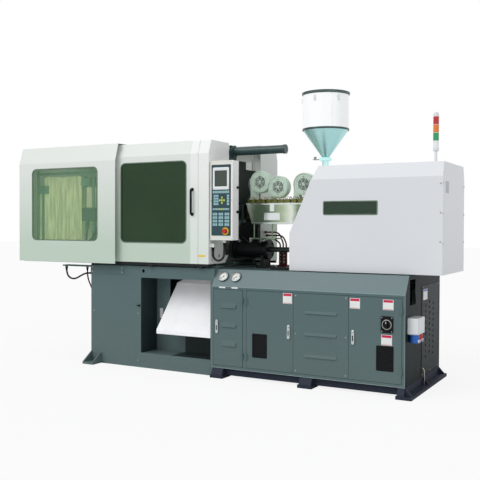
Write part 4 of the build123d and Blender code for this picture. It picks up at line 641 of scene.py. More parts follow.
def finish_rows(tones):
    """For each maker of finishes: its finishes, the CAD nodes that wear them, and their values."""
    return {
        # Colour, roughness, wear with a painted edge highlight, sheen, dust near the floor, boxes of painted
        # shade and painted light, painted reflection low down
        powder_coat: {
            "guard_coat": ("clamp_cover fixed_cover rear_covers front_gate rear_gate",
                           tones.guard, 0.34, 0.25, 0.45, 0, GUARD_PAINTED_LIGHT, tones.guard_painted_reflection),
            "cover_coat": ("barrel_cover", tones.cover, 0.34, 0.15),
            "base_coat": ("clamp_base", tones.base, 0.42, 0.5, 0.15, 0.25, BASE_PAINTED_SHADE),
            "cabinet_coat": ("cabinet_frame", tones.base, 0.42, 0.6, 0.06, 0.25, CABINET_PAINTED_SHADE),
            "panel_coat": ("narrow_door pump_door cabinet_panels electric_door tank_filler",
                           tones.base, 0.4, 0.6, 0.1, 0.25, PANEL_PAINTED_SHADE),
            "fascia_coat": ("fascia", tones.fascia, 0.36, 0.7),
            "plinth_coat": ("cabinet_base", tones.plinth, 0.55, 0.4, 0.2, 0.1),
            "control_coat": ("control_box", tones.control, 0.4, 0.25, 0.45, 0, CONTROL_PAINTED_LIGHT),
            "tube_coat": ("safety_tube", tones.tube, 0.3, 0.5),
            "blower_coat": ("blower_housings", tones.blower, 0.4, 0.4),
            "wheel_coat": ("blower_wheel_1 blower_wheel_2 blower_wheel_3", tones.wheel, 0.5),
            "manifold_coat": ("water_manifold", tones.manifold, 0.28, 0.4),
            "black_steel": ("gate_rails carriage_guides", tones.black, 0.45, 0.5, 0.25),
            "motor_coat": ("pump_motor", tones.fascia, 0.45, 0.4),
            "post_coat": ("", (0.55, 0.66, 0.6), 0.45),
            "cover_shadow": ("", (0.62, 0.62, 0.68), 0.5),
            "edge_coat": ("", (0.52, 0.6, 0.61), 0.32),
        },
        cast_paint: {
            "platen_coat": ("fixed_platen moving_platen injection_housing", tones.platen),
            "casting_coat": ("tail_platen", tones.casting),
        },
        # Colour, roughness, stretch of its lines along each axis, strength of its marks
        brushed_metal: {
            "stainless": ("hopper_lid", (0.74, 0.78, 0.76), 0.24, (9, 1, 0.15)),
            "ground_steel": ("tie_bars clamp_ram", (0.72, 0.74, 0.75), 0.2, (9, 1, 1)),
            "machined_steel": ("ejector_rod screw injection_plate hopper_gate",
                               (0.6, 0.62, 0.63), 0.34, (1, 4, 4)),
            "zinc": ("", (0.72, 0.73, 0.7), 0.36, (3, 3, 3), 0.25),
            "satin_chrome": ("narrow_latch pump_latch electric_latch gauge_cases",
                             (0.86, 0.88, 0.88), 0.16, (1, 1, 5), 0.12),
            "heat_steel": ("barrel", (0.42, 0.4, 0.36), 0.38, (1, 5, 5), 0.5),
            "terminal_brass": ("", tones.terminal, 0.36, (4, 4, 4), 0.4),
            "dark_steel": ("", (0.3, 0.36, 0.36), 0.34, (3, 3, 3), 0.3),
            "rim_steel": ("", (0.52, 0.55, 0.55), 0.25, (3, 3, 3), 0.2),
        },
        # Colour, roughness, grain per metre, painted glow, sheen
        moulded_plastic: {
            "chute_coat": ("product_chute", tones.chute, 0.4, 240, 0.16),
            "black_plastic": ("switch_knob gauge_pointer_1 gauge_pointer_2", tones.black, 0.5, 240, 0, 0.12),
            "socket_plastic": ("socket_box switchgear", tones.socket, 0.35),
            "blue_plastic": ("socket_lid_1", tones.blue, 0.35),
            "red_plastic": ("socket_lid_2", tones.red, 0.35),
            "stop_plastic": ("stop_button", tones.stop, 0.25),
            "ring_plastic": ("", tones.stop_ring, 0.35),
            "keypad_film": ("keypad", tones.keypad, 0.32, 420),
            "key_print": ("", tones.key, 0.4, 420, 0.03),
            "lime_print": ("", tones.key_lime, 0.4, 420, 0.03),
            "blank_plate": ("", tones.plate, 0.35, 420),
            "red_band": ("", tones.band, 0.35, 420),
            "yellow_field": ("", tones.stop_ring, 0.35, 420),
            "wire_sleeve": ("", (0.72, 0.68, 0.52), 0.55),
            "box_grey": ("", (0.32, 0.38, 0.36), 0.5),
            "dial_white": ("", (0.95, 0.95, 0.93), 0.4, 420, 0.05),
        },
        soft_rubber: {
            "rubber": ("control_cable long_clamp_hose short_clamp_hose", tones.black),
            "seal_rubber": ("", tones.seal),
        },
        # Colour, and the share of the view that the pane covers
        tinted_pane: {
            "clamp_glass": ("clamp_window", tones.clamp_pane, 0.3),
            # The gate's pane is nearly opaque, so that its dark tint stands as painted shade for the inside
            "gate_glass": ("front_gate_window", tones.gate_pane, 0.92),
            "slot_glass": ("cover_window", tones.slot_pane, 0.9),
            "dial_glass": ("", (0.9, 0.93, 0.93), 0.08),
        },
        cloth_sheet: {"curtain_coat": ("", tones.curtain)},
        banded_steel: {"banded_steel": ("shroud",)},
        liquid_screen: {"screen_crystal": ("", tones.screen)},
        # Foot of the lowest lens and height of a lens; height of the hopper's fold; all in metres
        banded_lenses: {"signal_lenses": ("signal_light", 1.871, 0.063)},
        hopper_steel: {"hopper_sheet": ("hopper", 2.073)},
    }


class MOULDER_OT_finishes(bpy.types.Operator):
    """Make every finish and give each CAD node its own"""

    bl_idname = "moulder.finishes"
    bl_label = "Finishes"

    def execute(self, context):
        bare = set(nodes)
        for maker, rows in finish_rows(context.scene.machine_colours).items():
            for name, (wearers, *values) in rows.items():
                finish = maker(name, *values)
                for wearer in wearers.split():
                    bare.discard(wearer)
                    for slot in nodes[wearer].material_slots:
                        slot.material = finish
        if bare:
            raise RuntimeError(f"no finish for {sorted(bare)}")
        return {"FINISHED"}


# The camera: its place in metres, its azimuth, pitch and roll in degrees, and its lens in millimetres
CAMERA_PLACE = (3.3608, -5.8159, 1.2669)
CAMERA_TURNS = (29.061, -1.092, 0.203)
CAMERA_LENS = 55.78
# The share of plain white in the floor that the camera sees; the rest keeps the shadow
FLOOR_WHITE = 0.86
WHITE = (1, 1, 1, 1)


def make_floor(settings):
    """A pale floor that shows white to the camera and keeps the machine's shadow."""
    finish = Finish("studio_floor")
    seen = finish.node("LightPath", {}, {}, "Is Camera Ray")
    mottle = finish.noise(0.8, 3)
    tone = finish.blend(mottle, linear(settings.floor, 0.98), linear(settings.floor, 1.0))
    shaded = finish.node("BsdfDiffuse", {}, {"Color": tone})
    lit = finish.node("Emission", {}, {"Color": WHITE, "Strength": 1.0})
    mixed = finish.node("MixShader", {}, {0: seen * FLOOR_WHITE, 1: shaded, 2: lit})
    finish.node("OutputMaterial", {}, {"Surface": mixed})
    sheet = bmesh.new()
    bmesh.ops.create_grid(sheet, x_segments=8, y_segments=8, size=40)
    data = bpy.data.meshes.new("floor")
    sheet.to_mesh(data)
    sheet.free()
    data.materials.append(finish.material)
    put("floor", data)


def make_world(scene, settings):
    """Even light on the machine, and white behind it."""
    finish = Finish("studio_world", bpy.data.worlds)
    scene.world = finish.material
    seen = 0.0
    for ray in ("Is Camera Ray", "Is Glossy Ray", "Is Transmission Ray"):
        seen = finish.sum("MAXIMUM", finish.node("LightPath", {}, {}, ray), seen)
    light = finish.node("Background", {}, {"Color": WHITE, "Strength": settings.world})
    backdrop = finish.node("Background", {}, {"Color": WHITE, "Strength": 1.0})
    mixed = finish.node("MixShader", {}, {0: seen, 1: light, 2: backdrop})
    finish.node("OutputWorld", {}, {"Surface": mixed})


def add_lamp(name, strength, source, spread):
    """A soft sun that shines from a direction."""
    data = bpy.data.lights.new(name, "SUN")
    data.energy = strength
    data.angle = radians(spread)
    lamp = put(name, data)
    lamp.rotation_mode = "QUATERNION"
    lamp.rotation_quaternion = Vector(source).to_track_quat("Z", "Y")


def add_camera(scene):
    """The camera that was fitted to the photo."""
    azimuth, pitch, roll = [radians(turn) for turn in CAMERA_TURNS]
    forward = Vector((-sin(azimuth) * cos(pitch), cos(azimuth) * cos(pitch), sin(pitch)))
    level = forward.cross(Vector((0, 0, 1))).normalized()
    above = level.cross(forward)
    right = level * cos(roll) + above * sin(roll)
    up = above * cos(roll) - level * sin(roll)
    data = bpy.data.cameras.new("camera")
    data.lens = CAMERA_LENS
    data.sensor_width = 36
    camera = put("camera", data)
    axes = Matrix((right, up, -forward)).transposed().to_4x4()
    camera.matrix_world = Matrix.Translation(CAMERA_PLACE) @ axes
    scene.camera = camera


class MOULDER_OT_stage(bpy.types.Operator):
    """Set the pale floor, the soft studio light and the camera at the photo's angle"""

    bl_idname = "moulder.stage"
    bl_label = "Stage"

    def execute(self, context):
        settings = context.scene.moulder_stage
        make_floor(settings)
        make_world(context.scene, settings)
        add_lamp("key_light", settings.key, (-0.55, -1.0, 0.95), 40)
        add_lamp("fill_light", settings.fill, (1.2, -0.8, 0.6), 60)
        add_camera(context.scene)
        context.scene.view_settings.view_transform = "Standard"
        return {"FINISHED"}


def hang_cord(name, route, diameter, node):
    """One smooth curve through a route, in rubber, that rides on the machine in place of the node it hides.
    """
    curve = bpy.data.curves.new(name, "CURVE")
    curve.dimensions = "3D"
    curve.bevel_depth = diameter / 2
    curve.bevel_resolution = 5
    curve.resolution_u = 10
    curve.use_fill_caps = True
    spline = curve.splines.new("NURBS")
    spline.points.add(len(route) - 1)
    for point, place in zip(spline.points, route):
        point.co = (*place, 1)
    spline.order_u = 3
    spline.use_endpoint_u = True
    curve.materials.append(material("rubber"))
    cord = put(name, curve)
    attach(cord, "machine")
    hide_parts(node)


class MOULDER_OT_cords(bpy.types.Operator):
    """Hang the control cable and the two clamp hoses, with their collars"""

    bl_idname = "moulder.cords"
    bl_label = "Cable and hoses"

    cable = [(0.227, -0.444, 1.125), (0.227, -0.444, 1.067), (0.223, -0.444, 1.009), (0.193, -0.444, 0.974),
             (0.147, -0.444, 0.974), (0.116, -0.444, 1.006), (0.1165, -0.444, 1.045), (0.1165, -0.444, 1.085)]
    long_hose = [(-1.52, -0.43, 0.867), (-1.52, -0.43, 0.823), (-1.495, -0.43, 0.777), (-1.443, -0.43, 0.759),
                 (-1.395, -0.43, 0.768), (-1.347, -0.43, 0.792), (-1.301, -0.43, 0.813),
                 (-1.255, -0.43, 0.822), (-1.209, -0.43, 0.822)]
    short_hose = [(-1.29, -0.4, 0.867), (-1.29, -0.4, 0.826), (-1.286, -0.4, 0.783), (-1.272, -0.4, 0.742),
                  (-1.251, -0.4, 0.705), (-1.231, -0.4, 0.667), (-1.219, -0.4, 0.626), (-1.217, -0.4, 0.587),
                  (-1.217, -0.4, 0.56)]

    def execute(self, context):
        hang_cord("cable_of_control", self.cable, 0.018, "control_cable")
        hang_cord("hose_long", self.long_hose, 0.016, "long_clamp_hose")
        hang_cord("hose_short", self.short_hose, 0.013, "short_clamp_hose")
        collars = Shape()
        for start, radius, height in (((227, -444, 1125), 9, 34), ((-1520, -430, 867), 8, 26),
                                      ((-1290, -400, 867), 6.5, 24)):
            collars.turned(facing(start, (0, 0, -1), (1, 0, 0)),
                           [(radius + 4.5, -2), (radius + 4.5, 5), (radius + 3, 8),
                            (radius + 3, height * 0.5), (radius + 0.8, height), (radius + 0.3, height)])
        collars.turned(facing((116.5, -444, 1085), (0, 0, -1), (1, 0, 0)),
                       [(13.5, -2), (13.5, 6), (11.5, 9), (10, 30), (9.3, 30)])
        collars.turned(facing((-1209, -430, 822), (-1, 0, 0), (0, 1, 0)),
                       [(12.5, -2), (12.5, 5), (11, 8), (9, 26), (8.3, 26)])
        collars.turned(on_top(-1217, -400, 560),
                       [(11, -2), (11, 5), (9.5, 8), (7.5, 24), (6.8, 24)])
        collars.piece("cord_collars", "black_plastic")
        return {"FINISHED"}


def inner_guard():
    """A ribbed sheet that hangs behind the clamp's window."""
    guard = Shape()
    ribs = 20
    steps = ribs * 8
    left, right, y = -1800, -1335, -425
    front = [(left + (right - left) * i / steps, y - 5 * cos(2 * pi * ribs * i / steps))
             for i in range(steps + 1)]
    outline = front + [(x, back + 2) for x, back in reversed(front)]
    top = 1728
    loops = [[(x, back, height) for x, back in outline] for height in (1040, top - 6)]
    loops.append([(x, back, top + 5 * sin(x * 0.021) + 3 * sin(x * 0.057)) for x, back in outline])
    guard.skin(Matrix.Identity(4), loops)
    guard.plate(on_front(-1232, -418, 1530), 118, 190, 3, 2)
    guard.plate(on_front(-1850, -418, 1330), 44, 560, 3, 2)
    guard.piece("clamp_inner_guard", "curtain_coat")


def inner_fittings():
    """Posts, boxes and a hose beside the ribbed sheet."""
    posts = Shape()
    for x, z, width, height in ((-1890, 1375, 26, 830), (-1480, 1760, 850, 24), (-1292, 1415, 16, 620),
                                (-1196, 1400, 34, 640), (-1830, 1330, 14, 640)):
        posts.plate(on_front(x, -412, z), width, height, 2, 16)
    for x, z, width, height in ((-1802, 1607, 112, 76), (-1274, 1672, 106, 74)):
        posts.plate(on_front(x, -426, z), width, height, 6, 22)
    posts.piece("clamp_inner_posts", "post_coat")
    boxes = Shape()
    boxes.plate(on_front(-1236, -424, 1368), 164, 120, 6, 24)
    boxes.plate(on_front(-1262, -424, 1290), 40, 60, 6, 14)
    boxes.pan_heads(grid(on_front, (-1300, -1172), -448, (1324, 1412)), 5)
    boxes.rod([(-1250, -434, 1308), (-1252, -436, 1250), (-1262, -438, 1190), (-1268, -438, 1110)], 7)
    boxes.rod([(-1150, -434, 1250), (-1162, -438, 1210), (-1196, -438, 1160), (-1230, -438, 1120)], 9)
    boxes.piece("clamp_inner_boxes", "box_grey")


class MOULDER_OT_windows(bpy.types.Operator):
    """Fit a rubber seal round each window, and the ribbed guard that shows through the clamp's"""

    bl_idname = "moulder.windows"
    bl_label = "Window seals"

    windows = (("clamp_window_seal", "machine", (-1448.5, CLAMP_FACE, 1462), 793, 666, 45),
               ("gate_window_seal", "front_guard", (-472, GATE_FACE, 1468), 696, 700, 45),
               ("barrel_window_seal", "carriage", (1298, COVER_FACE, 1409), 438, 100, 6))

    def execute(self, context):
        sizes = context.scene.machine_sizes
        for name, body, centre, width, height, corner in self.windows:
            lip, rise = sizes.seal_width, sizes.seal_height
            profile = [(-3, -2.6), (-3, rise * 0.6), (-1, rise), (lip * 0.7, rise * 0.85), (lip, 0.4),
                       (lip, -1.5)]
            (Shape().border(on_front(*centre), width, height, corner, profile)
             .piece(name, "seal_rubber", body))
        inner_guard()
        inner_fittings()
        return {"FINISHED"}


def fixed_cover_fittings(sizes):
    """Label, grommets, bracket and screws of the fixed cover."""
    (Shape().plate(on_front(33, GATE_FACE, 1011.5), 70, 15, 2, sizes.plate_height)
     .piece("fixed_cover_label", "yellow_field"))
    dark = Shape()
    dark.slab(on_end(FIXED_COVER_END, -412, 1061), 17, 34, 8, [(0, 0), (0, 1.2), (1, 1.6)])
    for z in (1500, 1640):
        dark.plate(on_end(FIXED_COVER_END, -300, z), 30, 60, 5, 6)
    dark.piece("fixed_cover_grommets", "black_plastic")
    pale = Shape()
    pale.plate(on_end(FIXED_COVER_END, -183, 1076), 70, 132, 4, 3)
    pale.turned(on_end(FIXED_COVER_END, -49, 935), [(9, 0), (9, 2), (7, 3.4), (2, 3.8)])
    pale.pan_heads(grid(on_end, FIXED_COVER_END, (-440, -200), (975, 1240, 1700)), 5)
    pale.piece("fixed_cover_bracket", "zinc")


class MOULDER_OT_guards(bpy.types.Operator):
    """Fit grips to the gates, and screws, vents and small parts to the covers"""

    bl_idname = "moulder.guards"
    bl_label = "Guard fittings"

    def execute(self, context):
        sizes = context.scene.machine_sizes
        for side, body, name in ((-1, "front_guard", "front_grip"), (1, "rear_guard", "rear_grip")):
            grip = Shape()
            low, high = 1363, 1573
            bend = [(-506 - 14 * sin(radians(turn)), 14 - 14 * cos(radians(turn)))
                    for turn in range(0, 91, 15)]
            lower = [(-60, out, low + up) for out, up in [(-496, 0), *bend]]
            upper = [(-60, out, high - up) for out, up in [*reversed(bend), (-496, 0)]]
            grip.rod([(x, -side * y, z) for x, y, z in lower + upper], 9.6, 16)
            for z in (low, high):
                foot = on_front(-60, GATE_FACE, z) if side < 0 else on_rear(-60, -GATE_FACE, z)
                grip.turned(foot, [(14.5, 0), (14.5, 4.6), (12.5, 6), (9, 6.4)])
            grip.piece(name, "black_plastic", body)
        screws = Shape()
        for z in (1584, 1369, 1154):
            screws.pan_heads([on_front(2000, COVER_FACE, z), on_rear(2000, -COVER_FACE, z)],
                             sizes.panel_screw)
        screws.pan_heads(grid(on_end, COVER_END, (-340, 340), (1588, 1361, 1142)), sizes.panel_screw)
        screws.piece("barrel_cover_screws", "zinc", "carriage")
        # Plates in a darker, bluish tone: painted shade in the vent slots of the cover's end
        vents = Shape()
        for i in range(5):
            vents.plate(on_end(COVER_END, -262 + 22 * i, 1560), 9, 90, 4, 0.8)
        vents.piece("barrel_cover_vents", "cover_shadow", "carriage")
        fixed_cover_fittings(sizes)
        return {"FINISHED"}


def door_grille(name, body, left, right, low, high):
    """A black plastic grille over a door's vent."""
    grille = Shape()
    centre = on_front((left + right) / 2, DOOR_FACE, (low + high) / 2)
    width = right - left
    height = high - low
    slats = 13
    grille.plate(centre, width + 2, height + 2, 2, 2.4)
    grille.border(centre, width, height, 3, [(-6, 2), (-6, 6.4), (-1, 7), (5, 2), (5, 0.1)])
    pitch = (height - 12) / slats
    for i in range(slats):
        foot = low + 6 + pitch * i
        loop = [(foot + 1, 2.2), (foot + pitch * 0.8, 2.2), (foot + pitch * 0.45, 6.2),
                (foot + pitch * 0.2, 6.4)]
        grille.skin(Matrix.Identity(4), [[(end, DOOR_FACE - out, up) for up, out in loop]
                                         for end in (left + 5, right - 5)])
    grille.piece(name, "black_plastic", body)


def door_plates(sizes):
    """Bare white plates with a red band, where the photo has notices."""
    rise = sizes.plate_height
    notices = {
        "door_pump": [(837.5, 693.5, 79, 83)],
        "door_electric": [(1399.5, 684.5, 81, 79), (1658.5, 687.5, 81, 77), (1648, 425.5, 82, 79)],
    }
    for body, places in notices.items():
        plate, band = Shape(), Shape()
        for x, z, width, height in places:
            plate.plate(on_front(x, DOOR_FACE, z), width, height, 3, rise)
            band.plate(on_front(x, DOOR_FACE - rise, z + height * 0.34), width - 8, height * 0.24, 1, 0.3)
            band.plate(on_front(x, DOOR_FACE - rise, z - height * 0.44), width - 10, height * 0.04, 1, 0.3)
        plate.piece(f"{body}_plates", "blank_plate", body)
        band.piece(f"{body}_bands", "red_band", body)
    plain = Shape()
    for x, width in ((237.5, 60), (355, 58)):
        plain.plate(on_front(x, -497, 756), width, 12, 1.5, rise)
    plain.plate(on_front(-562, -230, 467.5), 34, 89, 2, rise)
    plain.plate(on_end(CABINET_END, 34.5, 730), 121, 84, 3, rise)
    plain.piece("plain_plates", "blank_plate")
    (Shape().plate(on_end(CABINET_END + rise, 34.5, 762), 113, 14, 1, 0.3)
     .piece("end_plate_field", "blue_plastic"))


def latch_locks():
    """A key cylinder, a pull groove and a rim on each swing latch."""
    for name, x in (("narrow", 191), ("pump", 850), ("electric", 1387)):
        face = DOOR_FACE - 12.3
        dark = Shape()
        dark.plate(on_front(x, face, 416), 9, 52, 4.4, 0.5)
        dark.turned(on_front(x, face, 468), [(8.6, 0), (8.6, 1.2), (7.4, 1.6)])
        dark.piece(f"{name}_latch_groove", "black_plastic", f"latch_{name}")
        bright = Shape()
        bright.turned(on_front(x, face - 1.6, 468), [(6.4, 0), (6.4, 1.2), (5.2, 1.8)])
        bright.plate(on_front(x, face - 0.5, 396), 12, 8, 3, 1.6)
        bright.piece(f"{name}_latch_key", "satin_chrome", f"latch_{name}")


def switch_fittings():
    """The main switch's dark plate with its ring and screws."""
    centre = on_front(SWITCH_X, DOOR_FACE - 6, SWITCH_Z)
    plate = Shape()
    plate.plate(centre, 92, 120, 8, 2)
    plate.border(on_front(SWITCH_X, DOOR_FACE, SWITCH_Z), 88, 116, 6, [(0, 0), (3, 0), (3, 5.8), (0, 5.9)])
    plate.piece("switch_plate", "black_plastic", "door_electric")
    ring = Shape()
    ring.hoop(centre, [(31, 1.8), (37, 1.8), (37, 4.4), (35.5, 5.4), (32, 5.4), (31, 4.6)], 40)
    ring.pan_heads(grid(on_front, (1613, 1689), DOOR_FACE - 8, (490, 592)), 3.4)
    ring.piece("switch_ring", "zinc", "door_electric")
    (Shape().plate(on_front(SWITCH_X, DOOR_FACE - 32.6, 558), 4, 16, 1.8, 0.4)
     .piece("switch_mark", "blank_plate", "main_switch"))


def cabinet_edges():
    """Pressed edge strips of the cabinet in a paler paint, as a painted highlight along its edges, and screws
    of its fixed panels.
    """
    highlight_strips = Shape()
    # Paler strips along the cabinet's edges, as painted highlights
    for z in (763.2, 84):
        highlight_strips.rod([(139, EDGE_LINE, z), (1785, EDGE_LINE, z)], 2.2, 8)
    for x in (139.2, 1784.8):
        highlight_strips.rod([(x, EDGE_LINE, 86), (x, EDGE_LINE, 762)], 2.2, 8)
    highlight_strips.piece("cabinet_edges", "edge_coat")
    screws = Shape()
    screws.pan_heads(grid(on_front, (909, 1328), DOOR_FACE, (128, 420, 720)), 4.6)
    screws.pan_heads(grid(on_end, CABINET_END, (-49, 190, 428), (106, 794)), 4.6)
    screws.rod([(1791, -34, 156), (1803, -34, 140), (1806, -34, 80), (1803, -34, 30), (1791, -34, 14)], 4)
    screws.piece("cabinet_screws", "zinc")


class MOULDER_OT_doors(bpy.types.Operator):
    """Fit grilles, locks, bare plates, the switch's ring and edge strips to the cabinet"""

    bl_idname = "moulder.doors"
    bl_label = "Door fittings"

    def execute(self, context):
        sizes = context.scene.machine_sizes
        door_grille("pump_grille", "door_pump", 528, 652, 204, 389)
        door_grille("electric_grille", "door_electric", 1574, 1697, 199, 377)
        door_plates(sizes)
        latch_locks()
        switch_fittings()
        cabinet_edges()
        return {"FINISHED"}


class MOULDER_OT_gauges(bpy.types.Operator):
    """Fit dials, ticks, rims and glasses to the two pressure gauges"""

    bl_idname = "moulder.gauges"
    bl_label = "Gauges"

    def execute(self, context):
        dials, ticks, rims, glasses = Shape(), Shape(), Shape(), Shape()
        for centre in GAUGES:
            place = facing(centre, SLOPE_OUT, (1, 0, 0))
            dials.turned(place, [(39.6, 3.9), (39.6, 4.12)], 48)
            for i in range(31):
                reach, width = (4.5, 0.9) if i % 5 else (8, 1.8)
                ticks.slab(spun(place, 225 - 9 * i, 35 - reach / 2, 4.12), reach, width, 0.2,
                           [(0, 0), (0, 0.1)])
            ticks.hoop(place, [(26.4, 4.12), (27.2, 4.12), (27.2, 4.2), (26.4, 4.2)], 48)
            rims.hoop(place, [(38.6, 4.5), (38.6, 14.4), (41, 17), (44.5, 16.6), (46.4, 14), (46.4, 0.2),
                              (45.1, 0.2), (45.1, 13.8), (40.2, 13.8), (40.2, 4.5)], 48)
            glasses.turned(place, [(38.5, 11.6), (38.5, 12.8), (30, 13.4)], 48)
        dials.piece("gauge_dials", "dial_white")
        ticks.piece("gauge_ticks", "black_plastic")
        rims.piece("gauge_rims", "rim_steel")
        glasses.piece("gauge_glasses", "dial_glass")
        return {"FINISHED"}


def control_screen():
    """The screen's glass and the bezel round it."""
    bezel = Shape()
    middle = on_front(225, CONTROL_FACE - 4, 1658.5)
    loops = [rounded(width, height, corner, rise, 6)
             for width, height, corner, rise in ((119, 133, 4, -2), (119, 133, 4, 1.2), (121, 135, 5, 1.8),
                                                 (151, 180, 8, 1.8), (155, 184, 9, 0.8), (155, 184, 9, -3.8))]
    bezel.skin(middle, loops, ring=True)
    bezel.piece("screen_bezel", "socket_plastic")
    (Shape().plate(on_front(226, CONTROL_FACE - 1, 1658.5), 118, 133, 2, 1)
     .piece("screen_glass", "screen_crystal"))


def stop_fittings():
    """The stop button's ring and cap, and the lamp on the keypad."""
    ring = Shape()
    ring.hoop(on_front(STOP_X, CONTROL_FACE - 4, STOP_Z),
              [(20.6, -0.6), (20.6, 1.4), (23, 2.6), (29, 2.2), (30.4, 1), (30.4, -4), (28, -4)], 40)
    ring.piece("stop_ring", "ring_plastic")
    collar = Shape()
    collar.turned(on_front(STOP_X, CONTROL_FACE - 17.6, STOP_Z),
                  [(15, 0), (19.8, 0), (20.2, 2), (19.4, 5.6)], 32, caps=(True, False))
    collar.turned(on_front(STOP_X, -522.1, STOP_Z), [(13, 0), (13, 0.5), (12, 0.7)], 32)
    collar.piece("stop_cap", "stop_plastic", "stop")
    (Shape().turned(on_front(156, CONTROL_FACE, 1224), [(8.5, 0), (8.5, 1.6), (7, 2.4), (6.6, 1.8)], 24)
     .piece("keypad_lamp", "box_grey"))


def box_fittings():
    """Hinges, seam and screws of the control box."""
    hinges = Shape()
    for z in (1382, 1585):
        hinges.plate(on_end(331, -404, z), 37, 13, 3, 15)
        hinges.turned(on_end(338, -417, z), [(11, -7), (11, 2), (9, 3)], 20)
    hinges.piece("control_hinges", "black_plastic")
    (Shape().border(on_front(223, -495, 1479), 178, 582, 2, [(0.4, 0), (0.4, 1.4), (3.2, 1.4), (3.2, 0)])
     .piece("keypad_seam", "rubber"))
    (Shape().pan_heads(grid(on_front, (125, 322), GATE_FACE, (1160, 1478, 1796)), 3.4)
     .piece("control_screws", "zinc"))


class MOULDER_OT_keypad(bpy.types.Operator):
    """Fit keys, screen, bezel, stop ring and hinges to the operator's control box"""

    bl_idname = "moulder.keypad"
    bl_label = "Control box"

    # Each field of keys: its sides along X, its sides along Z, its columns, rows and green columns
    fields = ((144, 304, 1533, 1560, 10, 1, ()), (152, 202, 1436, 1526, 3, 4, ()),
              (278, 306, 1436, 1526, 1, 4, ()), (144, 304, 1395, 1414, 10, 1, (4, 5)),
              (144, 190, 1262, 1378, 3, 4, ()), (201, 247, 1262, 1378, 3, 4, ()),
              (259, 305, 1262, 1378, 3, 4, ()))

    def execute(self, context):
        keys, limes = Shape(), Shape()
        for left, right, low, high, columns, rows, greens in self.fields:
            pitch_x = (right - left) / columns
            pitch_z = (high - low) / rows
            for i, j in product(range(columns), range(rows)):
                chosen = limes if i in greens else keys
                chosen.plate(on_front(left + pitch_x * (i + 0.5), CONTROL_FACE, low + pitch_z * (j + 0.5)),
                             pitch_x * 0.74 + 1, pitch_z * 0.74 + 1, 1.6, 2.3)
        for dx, dz in ((0, 0), (20, 0), (-20, 0), (0, 22), (0, -22)):
            limes.plate(on_front(234 + dx, CONTROL_FACE, 1478 + dz), 14.4, 16, 2, 2.3)
        keys.piece("keypad_keys", "key_print")
        limes.piece("keypad_arrows", "lime_print")
        control_screen()
        stop_fittings()
        box_fittings()
        return {"FINISHED"}


def heater_terminals():
    """Heater terminal blocks along the shroud's top, their screws and lead wires."""
    caps, pins, wires = Shape(), Shape(), Shape()
    for i in range(9):
        x = 316.6 + 59.33 * i
        caps.plate(on_top(x, -143, 1462), 43.4, 40, 4, 31.4)
        for dx in (-12, 12):
            pins.turned(on_top(x + dx, -143, 1493.2),
                        [(6, 0), (6, 6), (4.5, 8), (2.6, 8), (2.6, 14), (1, 15)], 12)
        wires.rod([(x - 12, -143, 1504), (x - 8, -150, 1514), (x + 2, -154, 1516), (x + 12, -148, 1510),
                   (x + 24, -128, 1500), (x + 30, -96, 1470)], 2.6, 8)
        wires.rod([(x + 12, -143, 1504), (x + 14, -132, 1516), (x + 18, -112, 1508), (x + 20, -92, 1468)],
                  2.6, 8)
    caps.piece("heater_terminals", "terminal_brass", "carriage")
    pins.piece("heater_pins", "zinc", "carriage")
    wires.piece("heater_wires", "wire_sleeve", "carriage")


def blower_fittings():
    """Wire guards over the blowers' inlets, and the screws round their cases."""
    guard = Shape()
    screws = Shape()
    for x, z in BLOWERS:
        place = on_front(x, -104, z)
        for radius in (14, 27, 40):
            guard.hoop(place, [(radius - 1.6, 0), (radius + 1.6, 0), (radius + 1.6, 2.6),
                               (radius - 1.6, 2.6)], 32)
        guard.hoop(place, [(88, 4), (92, 4), (92, 2), (94, 0), (94, -3), (88, -3)], 48)
        guard.turned(place, [(9, 0), (9, 3.4), (5, 5)], 20)
        for turn in range(0, 360, 60):
            guard.slab(spun(place, turn, 31), 50, 3.4, 0.6, [(0, 0), (0, 2.4)])
            screws.pan_heads([spun(spun(place, turn), 30, 63)], 3.8)
    guard.piece("blower_guards", "blower_coat", "carriage")
    screws.piece("blower_screws", "zinc", "carriage")


def seat_cylinder():
    """Heads, bolts, pipe and unions of the seat cylinder under the barrel."""
    heads = Shape()
    along = on_end(PLATEN_END, 0, 1062)
    heads.turned(along, [(86, 0), (86, 22), (84, 24)], 40)
    heads.turned(along, [(82, 300), (84, 302), (84, 333), (80, 336.5)], 40)
    heads.bolts([spun(along, turn, 68, 336) for turn in range(45, 360, 90)], 8)
    heads.rod([(130, -40, 1140), (130, -60, 1168), (150, -80, 1180), (190, -84, 1176), (230, -80, 1150),
               (250, -60, 1120)], 8)
    heads.piece("seat_cylinder_heads", "black_steel")
    unions = Shape()
    for x in (140, 250, 350, 415):
        unions.turned(facing((x, -30, 1126), (0, -0.4, 1), (1, 0, 0)),
                      [(13, 0), (13, 10), (9, 12), (9, 24)], 6)
    unions.piece("seat_cylinder_unions", "zinc")


def manifold_unions():
    """Hose unions on the water manifold's two columns."""
    unions = Shape()
    for x in (433, 475):
        for z in (945, 975, 1005, 1035):
            unions.turned(on_front(x, 197, z), [(8, 0), (8, 8), (5.5, 9), (5.5, 20), (4, 22)], 6)
        unions.turned(on_top(x, 215, 1050), [(12, 0), (12, 6), (8, 8), (8, 16)], 6)
    unions.piece("manifold_unions", "zinc")


